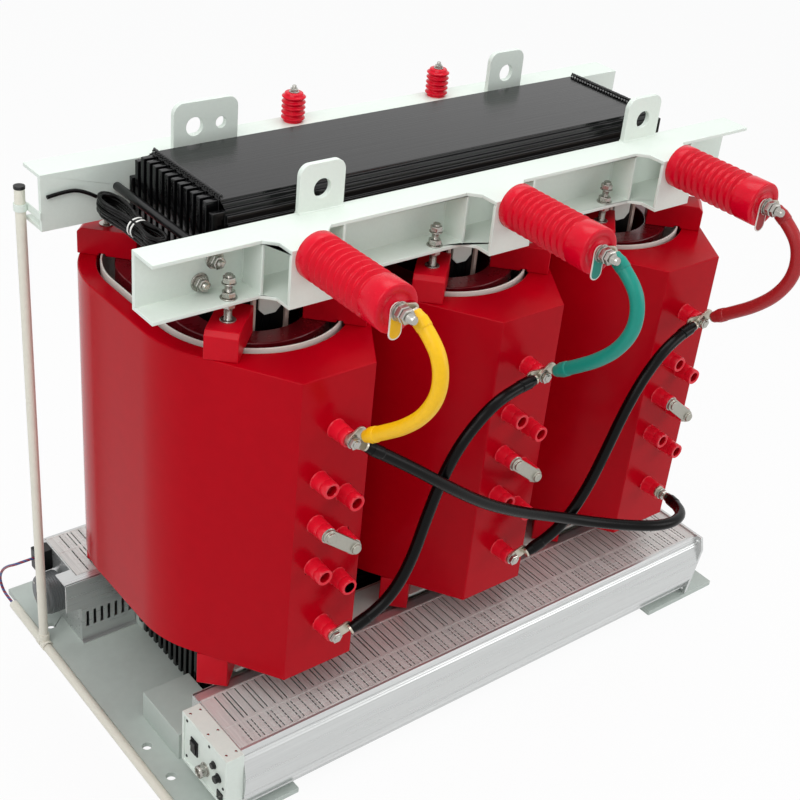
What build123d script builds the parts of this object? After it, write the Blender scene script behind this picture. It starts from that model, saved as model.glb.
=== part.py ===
"""Dry type, cast-resin, three-phase transformer with two cross-flow cooling fans.

Frame: X runs along the row of three phases, Y runs to the low-voltage side, Z up.
The origin is the centre of the anchor-hole pattern, on the floor.
"""
from build123d import *
import math
import os

os.makedirs("parts", exist_ok=True)

# ------------------------------------------------------------------ driving sizes, mm
phase_pitch = 500.0          # between neighbouring limbs
phases = (-phase_pitch, 0.0, phase_pitch)
oval_offset = 105.0          # half the straight side of every oval section
winding_bottom = 300.0       # underside of the windings above the floor
winding_height = 736.0
winding_top = winding_bottom + winding_height

hv_half_width = 245.0        # outer half width of the cast high-voltage winding
hv_bore = 206.0
tap_panel_width = 172.0
tap_panel_front = 425.0      # tap panel from the core's middle plane
barrier_half_width = 198.0
barrier_wall = 4.0
barrier_rise = 5.0           # ring standing proud of the winding ends
lv_half_width = 168.0
lv_bore = 116.0

tap_pitch = 107.0            # between taps of one column
tap_column = 33.0            # columns left and right of the panel's middle
terminal_spread = 244.0      # end terminals above and below the panel's middle
boss_length = 45.0
boss_base_radius = 19.0
boss_tip_radius = 16.0
tap_hole_radius = 11.0
tap_hole_depth = 16.0
terminal_seat = tap_panel_front + boss_length

limb_half_width = 100.0
core_half_depth = 178.0
# one packet of laminations per line: half depth of the stack, half width of the sheet
packets = ((132.0, 100.0), (141.0, 94.0), (149.0, 86.0), (157.0, 76.0), (163.0, 62.0),
           (core_half_depth, 44.0))
yoke_top = 1290.0
yoke_bottom_clearance = 47.0  # underside of the lower yoke above the floor
yoke_half_length = 590.0
comb_depth = 28.0            # sheet ends standing out of the yoke
comb_count = 15
bead_radius = 5.0

board = 7.0                  # pressboard between yoke and clamp
web = 10.0                   # clamp channel web
flange = 8.0
clamp_inner = core_half_depth + board
clamp_outer = clamp_inner + web
flange_reach = 65.0          # flange width past the web
clamp_edge = clamp_outer + flange_reach
clamp_height = 122.0
upper_clamp_bottom = 1136.0
upper_clamp_top = upper_clamp_bottom + clamp_height
upper_clamp_half = 808.0
block_height = 90.0          # lower support blocks
lower_clamp_top = winding_bottom - block_height
lower_clamp_bottom = lower_clamp_top - clamp_height
lower_clamp_half = 600.0
rib = 6.0
rib_left = 74.0
rib_right = 112.0
bushing_plate_width = 112.0
bushing_plate = 8.0
bushing_plate_reach = 130.0   # bushing seat past the web
bushing_seat = clamp_outer + bushing_plate_reach

top_block_height = 60.0
block_width = 68.0
block_length = 130.0
block_chamfer = 10.0
block_out = hv_half_width + 2.0  # outer face from the centre of the oval's round end
block_bolt_in = 55.0         # adjusting bolt from the block's outer face
notch_play = 5.0

lug_width = 107.0
lug_height = 100.0
lug_plate = 12.0
lug_hole = 20.0
lug_hole_rise = 46.0
front_lugs = (-401.0, 497.0)
rear_wide_lug = -430.0
rear_wide_width = 156.0
rear_small_lug = 414.0

bushing_height = 1240.0
bushing_radius = 49.0
bushing_length = 243.0
bushing_collar = 32.0
bushing_cap = 52.0
groove_count = 8
groove_depth = 6.0
stud_radius = 9.0
stud_reach = 52.0

plate = 14.0                 # base plates
plate_inner = 565.0
plate_outer = 812.0
plate_half_depth = 478.0
anchor_x = 783.0
anchor_y = 296.0
spare_hole_y = 188.0
anchor_radius = 11.0
beam_height = lower_clamp_bottom - plate
beam_inner = 164.0
beam_outer = clamp_edge + 2.0
beam_half_length = 745.0
beam_end = 121.0             # length of the front beam's wider ends
beam_end_inner = 100.0
rear_beam_outer = clamp_outer + 1.0
rear_beam_half_length = 600.0
beam_wall = 6.0

fan_near = -761.0
fan_far = 705.0
fan_inner = 272.0            # inner side of each fan from the middle plane
fan_outer = 490.0
fan_top = 204.0
fan_wall = 3.0
fan_foot = plate
bulkhead_near = -714.0
rear_fan_place = (-28.0, -72.0, 0.0)  # the rear fan from the front fan's mirror image
hood_reach = 39.0
hood_depth = 52.0
hood_drop = 82.0
rotor_y = 375.0
rotor_z = 112.0
rotor_radius = 60.0
rotor_bore = 46.0
rotor_blades = 18
rotor_gap = 10.0
shaft_radius = 6.0
shaft_play = 0.1
grille_inner = 296.0
grille_outer = 462.0
grille_sheet = 2.5
slot_count = 54
slot_width = 15.0

pipe_radius = 11.0
pipe_wall = 2.0
pipe_x = -(plate_outer + pipe_radius + 0.3)
riser_y = 248.0
riser_top = 1209.0
floor_run_front = -440.0
floor_run_rear = 420.0

lead_radius = 15.0
cable_radius = 13.0


# ------------------------------------------------------------------ shared outlines
def oval(half_width):
    """An oval section: two half circles joined by straight sides along Y."""
    SlotCenterToCenter(2 * oval_offset, 2 * half_width, rotation=90)


def oval_cut(half_width):
    SlotCenterToCenter(2 * oval_offset, 2 * half_width, rotation=90, mode=Mode.SUBTRACT)


def save(part, name):
    """Label one finished piece and write it."""
    part.label = name
    export_step(part, "parts/" + name + ".step")


# ------------------------------------------------------------------ core
yoke_half_height = limb_half_width + 4.0
upper_yoke_axis = yoke_top - yoke_half_height
lower_yoke_axis = yoke_bottom_clearance + yoke_half_height
limb_bottom = lower_yoke_axis + yoke_half_height
limb_top = upper_yoke_axis - yoke_half_height


def yoke(axis_z, name):
    """A stepped stack of sheets with its comb of sheet ends at both ends."""
    with BuildPart() as body:
        for half_depth, half_width in packets:
            height = 2 * half_width * yoke_half_height / limb_half_width
            with Locations((0, 0, axis_z)):
                Box(2 * yoke_half_length, 2 * half_depth, height)
        comb_pitch = 2 * core_half_depth / comb_count
        for index in range(comb_count):
            comb_y = -core_half_depth + (index + 0.5) * comb_pitch
            reach = [width for depth, width in packets if depth >= abs(comb_y)][0]
            comb_height = 2 * reach * yoke_half_height / limb_half_width - 6.0
            for side in (-1, 1):
                with Locations((side * (yoke_half_length + comb_depth / 2), comb_y, axis_z)):
                    Box(comb_depth, comb_pitch * 0.55, comb_height)
    save(body.part, name)


yoke(upper_yoke_axis, "upper_yoke")
yoke(lower_yoke_axis, "lower_yoke")

with BuildPart() as core_limbs:
    for phase in phases:
        for half_depth, half_width in packets:
            with Locations((phase, 0, (limb_bottom + limb_top) / 2)):
                Box(2 * half_width, 2 * half_depth, limb_top - limb_bottom)
save(core_limbs.part, "core_limbs")

with BuildPart() as joint_beads:
    for side in (-1, 1):
        bead_x = side * (yoke_half_length - 4.0)
        with BuildSketch(Plane.XZ.offset(-packets[0][0])):
            with Locations((bead_x, yoke_top + bead_radius)):
                Circle(bead_radius)
        extrude(amount=2 * packets[0][0])
save(joint_beads.part, "joint_beads")

strip_offset = 40.0
strip_width = 9.0
strip_top = upper_clamp_bottom - 4.0
with BuildPart() as core_insulation:
    for side in (-1, 1):
        for axis_z, low, high in (
            (upper_yoke_axis, upper_clamp_bottom, upper_clamp_top - 6.0),
            (lower_yoke_axis, lower_clamp_bottom, lower_clamp_top),
        ):
            with Locations((0, side * (core_half_depth + board / 2), (low + high) / 2)):
                Box(2 * yoke_half_length, board, high - low)
        for phase in phases:
            for edge in (-1, 1):
                strip_x = phase + edge * strip_offset
                strip_mid = (limb_bottom + strip_top) / 2
                with Locations((strip_x, side * (core_half_depth + board / 2), strip_mid)):
                    Box(strip_width, board, strip_top - limb_bottom)
save(core_insulation.part, "core_insulation")


# ------------------------------------------------------------------ windings
def tangent_point(side):
    """Where the slanting wall of a cast winding meets its round front."""
    edge = (side * tap_panel_width / 2, -tap_panel_front + oval_offset)
    reach = math.hypot(*edge)
    spread = math.acos(hv_half_width / reach)
    bearing = math.atan2(edge[1], edge[0]) + side * spread
    return (hv_half_width * math.cos(bearing), hv_half_width * math.sin(bearing) - oval_offset)


def hv_outline():
    """Oval winding with two slanting walls that meet the flat tap panel."""
    half_panel = tap_panel_width / 2
    right = tangent_point(1)
    left = tangent_point(-1)
    bend = (math.atan2(right[1] + oval_offset, right[0])) / 2
    bend_x = hv_half_width * math.cos(bend)
    bend_y = hv_half_width * math.sin(bend) - oval_offset
    with BuildSketch() as outline:
        with BuildLine():
            Line((-half_panel, -tap_panel_front), (half_panel, -tap_panel_front))
            Line((half_panel, -tap_panel_front), right)
            ThreePointArc(right, (bend_x, bend_y), (hv_half_width, -oval_offset))
            Line((hv_half_width, -oval_offset), (hv_half_width, oval_offset))
            ThreePointArc((hv_half_width, oval_offset), (0, oval_offset + hv_half_width),
                          (-hv_half_width, oval_offset))
            Line((-hv_half_width, oval_offset), (-hv_half_width, -oval_offset))
            ThreePointArc((-hv_half_width, -oval_offset), (-bend_x, bend_y), left)
            Line(left, (-half_panel, -tap_panel_front))
        make_face()
    return outline.sketch_local


panel_middle = winding_bottom + winding_height / 2
left_taps = [(-tap_column, panel_middle + tap_pitch * step) for step in (1.25, 0.25, -0.75)]
right_taps = [(tap_column, panel_middle + tap_pitch * step) for step in (0.75, -0.25, -1.25)]
end_terminals = [(0.0, panel_middle + terminal_spread), (0.0, panel_middle - terminal_spread)]
bridged_taps = (left_taps[1], right_taps[1])
open_taps = (left_taps[0], left_taps[2], right_taps[0], right_taps[2])


def panel_plane(phase, point, distance):
    """A plane square to the tap panel, looking out to the front."""
    return Plane(origin=(phase + point[0], -distance, point[1]), x_dir=(1, 0, 0),
                 z_dir=(0, -1, 0))


def hv_coil(phase, name):
    with BuildPart() as coil:
        with BuildSketch(Plane.XY.offset(winding_bottom)):
            add(hv_outline())
            oval_cut(hv_bore)
        extrude(amount=winding_height)
        for point in left_taps + right_taps + end_terminals:
            with BuildSketch(panel_plane(0, point, tap_panel_front)):
                Circle(boss_base_radius)
            with BuildSketch(panel_plane(0, point, terminal_seat)):
                Circle(boss_tip_radius)
            loft()
        for point in open_taps:
            with BuildSketch(panel_plane(0, point, terminal_seat)):
                Circle(tap_hole_radius)
            extrude(amount=-tap_hole_depth, mode=Mode.SUBTRACT)
    save(coil.part.moved(Location((phase, 0, 0))), name)


for phase, letter in zip(phases, "abc"):
    hv_coil(phase, "hv_coil_" + letter)

for phase, letter in zip(phases, "abc"):
    with BuildPart() as lv_coil:
        with BuildSketch(Plane((phase, 0, winding_bottom))):
            oval(lv_half_width)
            oval_cut(lv_bore)
        extrude(amount=winding_height)
    save(lv_coil.part, "lv_coil_" + letter)

with BuildPart() as barrier_cylinders:
    for phase in phases:
        with BuildSketch(Plane((phase, 0, winding_bottom - barrier_rise))):
            oval(barrier_half_width)
            oval_cut(barrier_half_width - barrier_wall)
        extrude(amount=winding_height + 2 * barrier_rise)
save(barrier_cylinders.part, "barrier_cylinders")

# ------------------------------------------------------------------ taps and terminals
link_thickness = 8.0
link_half_width = 15.0
washer = 3.0
washer_radius = 14.0
nut_radius = 13.0
nut_height = 11.0

with BuildPart() as tap_links:
    for phase in phases:
        (left_x, left_z), (right_x, right_z) = bridged_taps
        length = math.hypot(right_x - left_x, right_z - left_z)
        slope = math.degrees(math.atan2(right_z - left_z, right_x - left_x))
        middle = ((left_x + right_x) / 2, (left_z + right_z) / 2)
        with BuildSketch(panel_plane(phase, middle, terminal_seat)):
            SlotCenterToCenter(length, 2 * link_half_width, rotation=slope)
        extrude(amount=link_thickness)
        for point in bridged_taps:
            with BuildSketch(panel_plane(phase, point, terminal_seat + link_thickness)):
                Circle(link_half_width * 0.72)
            extrude(amount=6.0)
save(tap_links.part, "tap_links")

palm = 5.0                    # thickness of a cable lug
palm_radius = 14.0

# lugs stacked on each end terminal: the top ones carry a lead and a cable
stack = {
    (-phase_pitch, 0): 2, (0.0, 0): 2, (phase_pitch, 0): 2,
    (-phase_pitch, 1): 1, (0.0, 1): 1, (phase_pitch, 1): 1,
}

with BuildPart() as terminal_nuts:
    for phase in phases:
        for index, point in enumerate(end_terminals):
            seat = terminal_seat + palm * stack[(phase, index)]
            with BuildSketch(panel_plane(phase, point, seat)):
                Circle(washer_radius)
            extrude(amount=washer)
            with BuildSketch(panel_plane(phase, point, seat + washer)):
                RegularPolygon(nut_radius, 6)
            extrude(amount=nut_height)
save(terminal_nuts.part, "terminal_nuts")


# ------------------------------------------------------------------ clamps
def channel(half_length, low, high):
    """A C section along X with its flanges to the front, swept along X."""
    with BuildPart() as section:
        with BuildSketch(Plane.YZ.offset(-half_length)):
            with Locations((-(clamp_inner + web / 2), (low + high) / 2)):
                Rectangle(web, high - low)
            for edge in (low + flange / 2, high - flange / 2):
                with Locations((-(clamp_outer + clamp_edge) / 2, edge)):
                    Rectangle(flange_reach, flange)
        extrude(amount=2 * half_length)
    return section.part


def welded_rib(x, low, high):
    with Locations((x, -(clamp_outer + clamp_edge) / 2, (low + high) / 2)):
        Box(rib, flange_reach, high - low - 2 * flange)


rod_places = ((640.0, 1205.0), (672.0, 1165.0))
rod_radius = 7.0
sleeve_radius = 9.0
bolt_radius = 8.0
bolt_play = 1.0
bolt_depth = 20.0            # adjusting bolt inside its block
bolt_rise = 58.0             # bolt end above the clamp's lower flange
# every adjusting bolt stands on the 45 degree line from the centre of a round end
bolt_x = (block_out - block_bolt_in) * math.sqrt(0.5)
bolt_y = oval_offset + bolt_x

with BuildPart() as upper_clamp_front:
    add(channel(upper_clamp_half, upper_clamp_bottom, upper_clamp_top))
    for phase in phases:
        welded_rib(phase - rib_left, upper_clamp_bottom, upper_clamp_top)
        welded_rib(phase + rib_right, upper_clamp_bottom, upper_clamp_top)
        # flared top flange and bottom flange that carry the bushing seat plate
        for level in (upper_clamp_bottom, upper_clamp_top - flange):
            with BuildSketch(Plane.XY.offset(level)):
                with BuildLine():
                    half = bushing_plate_width / 2
                    flare = half + 22.0
                    Polyline((phase - flare, -clamp_edge), (phase - half, -clamp_edge - 22.0),
                             (phase - half, -bushing_seat), (phase + half, -bushing_seat),
                             (phase + half, -clamp_edge - 22.0), (phase + flare, -clamp_edge),
                             close=True)
                make_face()
            extrude(amount=flange)
        with BuildSketch(Plane.XZ.offset(bushing_seat - bushing_plate)):
            with Locations((phase, (upper_clamp_bottom + upper_clamp_top) / 2)):
                RectangleRounded(bushing_plate_width, clamp_height, 14.0)
        extrude(amount=bushing_plate)
    for lug_x in front_lugs:
        with BuildSketch(Plane.XZ.offset(clamp_inner)):
            with Locations((lug_x, upper_clamp_top + lug_height / 2)):
                Rectangle(lug_width, lug_height)
            with Locations((lug_x, upper_clamp_top + lug_hole_rise)):
                Circle(lug_hole, mode=Mode.SUBTRACT)
        extrude(amount=lug_plate)
        tops = upper_clamp_front.edges().filter_by(Axis.Y).group_by(Axis.Z)[-1]
        fillet([edge for edge in tops if abs(edge.center().X - lug_x) < lug_width], 24.0)
    for phase in phases:
        for side in (-1, 1):
            with Locations((phase + side * bolt_x, -bolt_y, upper_clamp_bottom)):
                Cylinder(bolt_radius + bolt_play, 3 * flange, mode=Mode.SUBTRACT)
    for end in (-1, 1):
        for rod_x, rod_z in rod_places:
            with BuildSketch(Plane.XZ.offset(clamp_inner - 1.0)):
                with Locations((end * rod_x, rod_z)):
                    Circle(rod_radius + bolt_play)
            extrude(amount=web + 2.0, mode=Mode.SUBTRACT)
save(upper_clamp_front.part, "upper_clamp_front")

with BuildPart() as upper_clamp_rear:
    add(channel(upper_clamp_half, upper_clamp_bottom, upper_clamp_top))
    for phase in phases:
        welded_rib(phase - rib_left, upper_clamp_bottom, upper_clamp_top)
        welded_rib(phase + rib_right, upper_clamp_bottom, upper_clamp_top)
    # lugs are written in the front frame and mirrored with the channel
    with BuildSketch(Plane.XZ.offset(clamp_inner)):
        with Locations((rear_wide_lug, upper_clamp_top + lug_height / 2)):
            Rectangle(rear_wide_width, lug_height)
        with Locations((rear_small_lug, upper_clamp_top + lug_height / 2)):
            Rectangle(lug_width, lug_height)
        with Locations((rear_wide_lug - 28.0, upper_clamp_top + lug_hole_rise)):
            Circle(lug_hole, mode=Mode.SUBTRACT)
        with Locations((rear_wide_lug + 36.0, upper_clamp_top + lug_hole_rise)):
            Circle(lug_hole * 0.62, mode=Mode.SUBTRACT)
        with Locations((rear_small_lug, upper_clamp_top + lug_hole_rise)):
            Circle(lug_hole, mode=Mode.SUBTRACT)
    extrude(amount=lug_plate)
    tops = upper_clamp_rear.edges().filter_by(Axis.Y).group_by(Axis.Z)[-1]
    fillet(tops, 24.0)
    for phase in phases:
        for side in (-1, 1):
            with Locations((phase + side * bolt_x, -bolt_y, upper_clamp_bottom)):
                Cylinder(bolt_radius + bolt_play, 3 * flange, mode=Mode.SUBTRACT)
    for end in (-1, 1):
        for rod_x, rod_z in rod_places:
            with BuildSketch(Plane.XZ.offset(clamp_inner - 1.0)):
                with Locations((end * rod_x, rod_z)):
                    Circle(rod_radius + bolt_play)
            extrude(amount=web + 2.0, mode=Mode.SUBTRACT)
    mirror(about=Plane.XZ, mode=Mode.REPLACE)
save(upper_clamp_rear.part, "upper_clamp_rear")

with BuildPart() as lower_clamp_front:
    add(channel(lower_clamp_half, lower_clamp_bottom, lower_clamp_top))
    for phase in phases:
        welded_rib(phase - rib_right, lower_clamp_bottom, lower_clamp_top)
        welded_rib(phase + rib_right, lower_clamp_bottom, lower_clamp_top)
save(lower_clamp_front.part, "lower_clamp_front")

# the rear lower clamp is a flat bar, because the rear fan stands close behind it
with BuildPart() as lower_clamp_rear:
    with Locations((0, clamp_inner + web / 2, (lower_clamp_bottom + lower_clamp_top) / 2)):
        Box(2 * lower_clamp_half, web, clamp_height)
save(lower_clamp_rear.part, "lower_clamp_rear")


# ------------------------------------------------------------------ support blocks
def support_block(seat, height):
    """One block, X running out from the centre of the oval's round end.

    It stands on the winding at the level seat, or hangs below it with a negative height.
    """
    inner = block_out - block_length
    bevel = math.copysign(block_chamfer, height)
    with BuildPart() as block:
        with BuildSketch(Plane.XZ.offset(-block_width / 2)):
            with BuildLine():
                Polyline((inner, seat), (inner, seat + height),
                         (block_out - block_chamfer, seat + height),
                         (block_out, seat + height - bevel), (block_out, seat), close=True)
            make_face()
        extrude(amount=block_width)
    return block.part


def blocks_of(phase, name):
    ring_clear = barrier_half_width + notch_play
    with BuildPart() as blocks:
        for side in (-1, 1):
            for face in (-1, 1):
                turn = math.degrees(math.atan2(face, side))
                place = Location((0, face * oval_offset, 0), (0, 0, turn))
                add(support_block(winding_top, top_block_height).moved(place))
                add(support_block(winding_bottom, -block_height).moved(place))
        # the barrier cylinder stands in the lower notches and bears in the upper ones
        for level, depth in ((winding_top, barrier_rise), (winding_bottom, -barrier_rise)):
            with BuildSketch(Plane.XY.offset(level)):
                oval(ring_clear)
                oval_cut(barrier_half_width - barrier_wall - notch_play)
            extrude(amount=depth, mode=Mode.SUBTRACT)
        for side in (-1, 1):
            for face in (-1, 1):
                with Locations((side * bolt_x, face * bolt_y, winding_top + top_block_height)):
                    Cylinder(bolt_radius, 2 * bolt_depth, mode=Mode.SUBTRACT)
    save(blocks.part.moved(Location((phase, 0, 0))), name)


for phase, letter in zip(phases, "abc"):
    blocks_of(phase, "support_blocks_" + letter)

bolt_places = [(phase + side * bolt_x, face * bolt_y)
               for phase in phases for side in (-1, 1) for face in (-1, 1)]
bolt_foot = winding_top + top_block_height
with BuildPart() as block_bolts:
    for x, y in bolt_places:
        with Locations((x, y, bolt_foot - bolt_depth)):
            Cylinder(bolt_radius, upper_clamp_bottom + bolt_rise - bolt_foot + bolt_depth,
                     align=(Align.CENTER, Align.CENTER, Align.MIN))
        with Locations((x, y, bolt_foot)):
            Cylinder(16.0, 3.0, align=(Align.CENTER, Align.CENTER, Align.MIN))
        with BuildSketch(Plane((x, y, upper_clamp_bottom + flange))):
            RegularPolygon(14.0, 6)
        extrude(amount=12.0)
        with BuildSketch(Plane((x, y, upper_clamp_bottom - 12.0))):
            RegularPolygon(14.0, 6)
        extrude(amount=12.0)
        with BuildSketch(Plane((x, y, upper_clamp_bottom + 40.0))):
            RegularPolygon(13.0, 6)
        extrude(amount=12.0)
save(block_bolts.part, "block_bolts")

# ------------------------------------------------------------------ clamp tie rods
with BuildPart() as tie_rods:
    for rod_x, rod_z in rod_places:
        for end in (-1, 1):
            with BuildSketch(Plane.XZ.offset(-(clamp_outer + 30.0))):
                with Locations((end * rod_x, rod_z)):
                    Circle(rod_radius)
            extrude(amount=2 * (clamp_outer + 30.0))
            with BuildSketch(Plane.XZ.offset(-clamp_inner)):
                with Locations((end * rod_x, rod_z)):
                    Circle(sleeve_radius)
            extrude(amount=2 * clamp_inner)
            for face in (-1, 1):
                seat = Plane.XZ.offset(clamp_outer if face > 0 else -clamp_outer - 14.0)
                with BuildSketch(seat):
                    with Locations((end * rod_x, rod_z)):
                        RegularPolygon(15.0, 6)
                extrude(amount=14.0)
save(tie_rods.part, "tie_rods")

# ------------------------------------------------------------------ bushings
def bushing_plane(phase, distance):
    return Plane(origin=(phase, -distance, bushing_height), x_dir=(1, 0, 0), z_dir=(0, -1, 0))


bushing_end = bushing_seat + bushing_length
groove_pitch = (bushing_length - bushing_collar - bushing_cap) / groove_count

with BuildPart() as hv_bushings:
    for phase in phases:
        with BuildSketch(Plane(origin=(phase, 0, bushing_height), x_dir=(1, 0, 0),
                               z_dir=(0, 0, 1))):
            with BuildLine():
                outline = [(0, -bushing_seat), (bushing_radius, -bushing_seat)]
                for groove in range(groove_count):
                    start = bushing_seat + bushing_collar + groove * groove_pitch
                    outline.append((bushing_radius, -start))
                    outline.append((bushing_radius - groove_depth, -(start + groove_pitch / 2)))
                outline.append((bushing_radius, -(bushing_end - bushing_cap)))
                outline.append((bushing_radius, -(bushing_end - 5.0)))
                outline.append((bushing_radius - 5.0, -bushing_end))
                outline.append((0, -bushing_end))
                Polyline(*outline, close=True)
            make_face()
        revolve(axis=Axis((phase, 0, bushing_height), (0, 1, 0)))
save(hv_bushings.part, "hv_bushings")

tag = 2.0
tag_width = 30.0
tag_drop = 46.0
stud_washer = 18.0
with BuildPart() as bushing_studs:
    for phase in phases:
        with BuildSketch(bushing_plane(phase, bushing_end)):
            Circle(stud_radius)
        extrude(amount=stud_reach)
        with BuildSketch(bushing_plane(phase, bushing_end + tag + palm)):
            Circle(stud_washer)
        extrude(amount=washer)
        with BuildSketch(bushing_plane(phase, bushing_end + tag + palm + washer)):
            RegularPolygon(17.0, 6)
        extrude(amount=12.0)
save(bushing_studs.part, "bushing_studs")

with BuildPart() as phase_tags:
    for phase in phases:
        with BuildSketch(bushing_plane(phase, bushing_end)):
            with Locations((0, -tag_drop / 2)):
                SlotCenterToCenter(tag_drop, tag_width, rotation=90)
            Circle(stud_radius + 0.3, mode=Mode.SUBTRACT)
        extrude(amount=tag)
save(phase_tags.part, "phase_tags")

# ------------------------------------------------------------------ low-voltage side
post_places = (-178.0, 236.0)
post_y = clamp_outer + 36.0
post_radius = 27.0
post_height = 66.0
shed_count = 5
shed_pitch = post_height / shed_count
with BuildPart() as post_insulators:
    for post_x in post_places:
        with BuildSketch(Plane.XZ):
            with BuildLine():
                outline = [(post_x, upper_clamp_top), (post_x + post_radius - 6, upper_clamp_top)]
                for shed in range(shed_count):
                    base = upper_clamp_top + shed * shed_pitch
                    outline.append((post_x + post_radius - 6, base + 2))
                    outline.append((post_x + post_radius, base + shed_pitch * 0.55))
                    outline.append((post_x + post_radius - 6, base + shed_pitch * 0.85))
                outline.append((post_x + post_radius - 9, upper_clamp_top + post_height))
                outline.append((post_x, upper_clamp_top + post_height))
                Polyline(*outline, close=True)
            make_face()
        revolve(axis=Axis((post_x, 0, 0), (0, 0, 1)))
save(post_insulators.part.moved(Location((0, post_y, 0))), "post_insulators")

with BuildPart() as post_bolts:
    for post_x in post_places:
        with Locations((post_x, post_y, upper_clamp_top + post_height)):
            Cylinder(11.0, 3.0, align=(Align.CENTER, Align.CENTER, Align.MIN))
            Cylinder(5.0, 16.0, align=(Align.CENTER, Align.CENTER, Align.MIN))
        with BuildSketch(Plane((post_x, post_y, upper_clamp_top + post_height + 3.0))):
            RegularPolygon(9.0, 6)
        extrude(amount=7.0)
save(post_bolts.part, "post_bolts")

bar_width = 80.0
bar = 8.0
bar_rise = 22.0
bar_reach = 410.0
bar_start = oval_offset + lv_half_width - 40.0
with BuildPart() as lv_terminal_bars:
    for phase in phases:
        with BuildSketch(Plane.YZ.offset(phase - bar_width / 2)):
            with BuildLine():
                Polyline((bar_start, winding_top), (bar_start, winding_top + bar_rise + bar),
                         (bar_reach, winding_top + bar_rise + bar),
                         (bar_reach, winding_top + bar_rise),
                         (bar_start + bar, winding_top + bar_rise),
                         (bar_start + bar, winding_top), close=True)
            make_face()
        extrude(amount=bar_width)
        with Locations((phase, bar_reach - 30.0, winding_top + bar_rise + bar / 2)):
            with GridLocations(40.0, 0.1, 2, 1):
                Cylinder(7.0, 2 * bar, mode=Mode.SUBTRACT)
save(lv_terminal_bars.part, "lv_terminal_bars")

# ------------------------------------------------------------------ base
for side, name in ((-1, "base_plate_near"), (1, "base_plate_far")):
    with BuildPart() as base_plate:
        with Locations((side * (plate_inner + plate_outer) / 2, 0, plate / 2)):
            Box(plate_outer - plate_inner, 2 * plate_half_depth, plate)
        for hole_y in (-anchor_y, -spare_hole_y, anchor_y):
            with Locations((side * anchor_x, hole_y, plate / 2)):
                Cylinder(anchor_radius, 2 * plate, mode=Mode.SUBTRACT)
    save(base_plate.part, name)



def pressed_box(low, high):
    """A sheet box between two corners, open underneath."""
    size = [high[axis] - low[axis] for axis in range(3)]
    middle = [(high[axis] + low[axis]) / 2 for axis in range(3)]
    with BuildPart() as pressing:
        with Locations(tuple(middle)):
            Box(*size)
        with Locations((middle[0], middle[1], middle[2] - beam_wall / 2)):
            Box(size[0] - 2 * beam_wall, size[1] - 2 * beam_wall, size[2] - beam_wall,
                mode=Mode.SUBTRACT)
    return pressing.part


beam_top = plate + beam_height
with BuildPart() as foot_beam_front:
    add(pressed_box((-beam_half_length, -beam_outer, plate),
                    (beam_half_length, -beam_inner, beam_top)))
    for end in (-1, 1):
        near, far = sorted((end * beam_half_length, end * (beam_half_length - beam_end)))
        add(pressed_box((near, -beam_inner - beam_wall, plate), (far, -beam_end_inner, beam_top)))
save(foot_beam_front.part, "foot_beam_front")

with BuildPart() as foot_beam_rear:
    add(pressed_box((-rear_beam_half_length, beam_inner, plate),
                    (rear_beam_half_length, rear_beam_outer, beam_top)))
save(foot_beam_rear.part, "foot_beam_rear")


# ------------------------------------------------------------------ cooling fans
def fan_section(side):
    """The fan's bent sheet: floor, inner wall and bulged outer cover, open on top."""
    with BuildSketch(Plane.YZ) as shell:
        with BuildLine():
            inner_top = (side * fan_inner, fan_top)
            inner_foot = (side * fan_inner, fan_foot)
            outer_foot = (side * (fan_outer - 40.0), fan_foot)
            bulge = (side * fan_outer, fan_foot + 0.5 * (fan_top - fan_foot))
            outer_top = (side * (fan_outer - 22.0), fan_top)
            Line(inner_top, inner_foot)
            Line(inner_foot, outer_foot)
            ThreePointArc(outer_foot, bulge, outer_top)
            Line(outer_top, inner_top)
        make_face()
    return shell.sketch_local


def fan_place(side):
    """Where a fan made beside the front fan, or as its mirror image, comes to stand."""
    return Location(rear_fan_place) if side > 0 else Location((0, 0, 0))


def rotor(side, name):
    """Cross-flow impeller: long blades between discs, on a shaft."""
    length = fan_far - bulkhead_near - 2 * rotor_gap
    start = bulkhead_near + rotor_gap
    with BuildPart() as impeller:
        with BuildSketch(Plane.YZ.offset(start)):
            with Locations((side * rotor_y, rotor_z)):
                with PolarLocations((rotor_radius + rotor_bore) / 2 - 0.5, rotor_blades):
                    Rectangle(rotor_radius - rotor_bore, 2.4, rotation=38)
        extrude(amount=length)
        for share in (0.0, 0.25, 0.5, 0.75, 1.0):
            with BuildSketch(Plane.YZ.offset(start + share * (length - 3.0))):
                with Locations((side * rotor_y, rotor_z)):
                    Circle(rotor_radius)
                    if 0.0 < share < 1.0:
                        Circle(rotor_bore, mode=Mode.SUBTRACT)
            extrude(amount=3.0)
        for stub_start, stub_length in ((bulkhead_near - 1.0, rotor_gap + 1.0),
                                        (fan_far - rotor_gap, rotor_gap + 6.0)):
            with BuildSketch(Plane.YZ.offset(stub_start)):
                with Locations((side * rotor_y, rotor_z)):
                    Circle(shaft_radius)
            extrude(amount=stub_length)
    save(impeller.part.moved(fan_place(side)), name)


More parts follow.
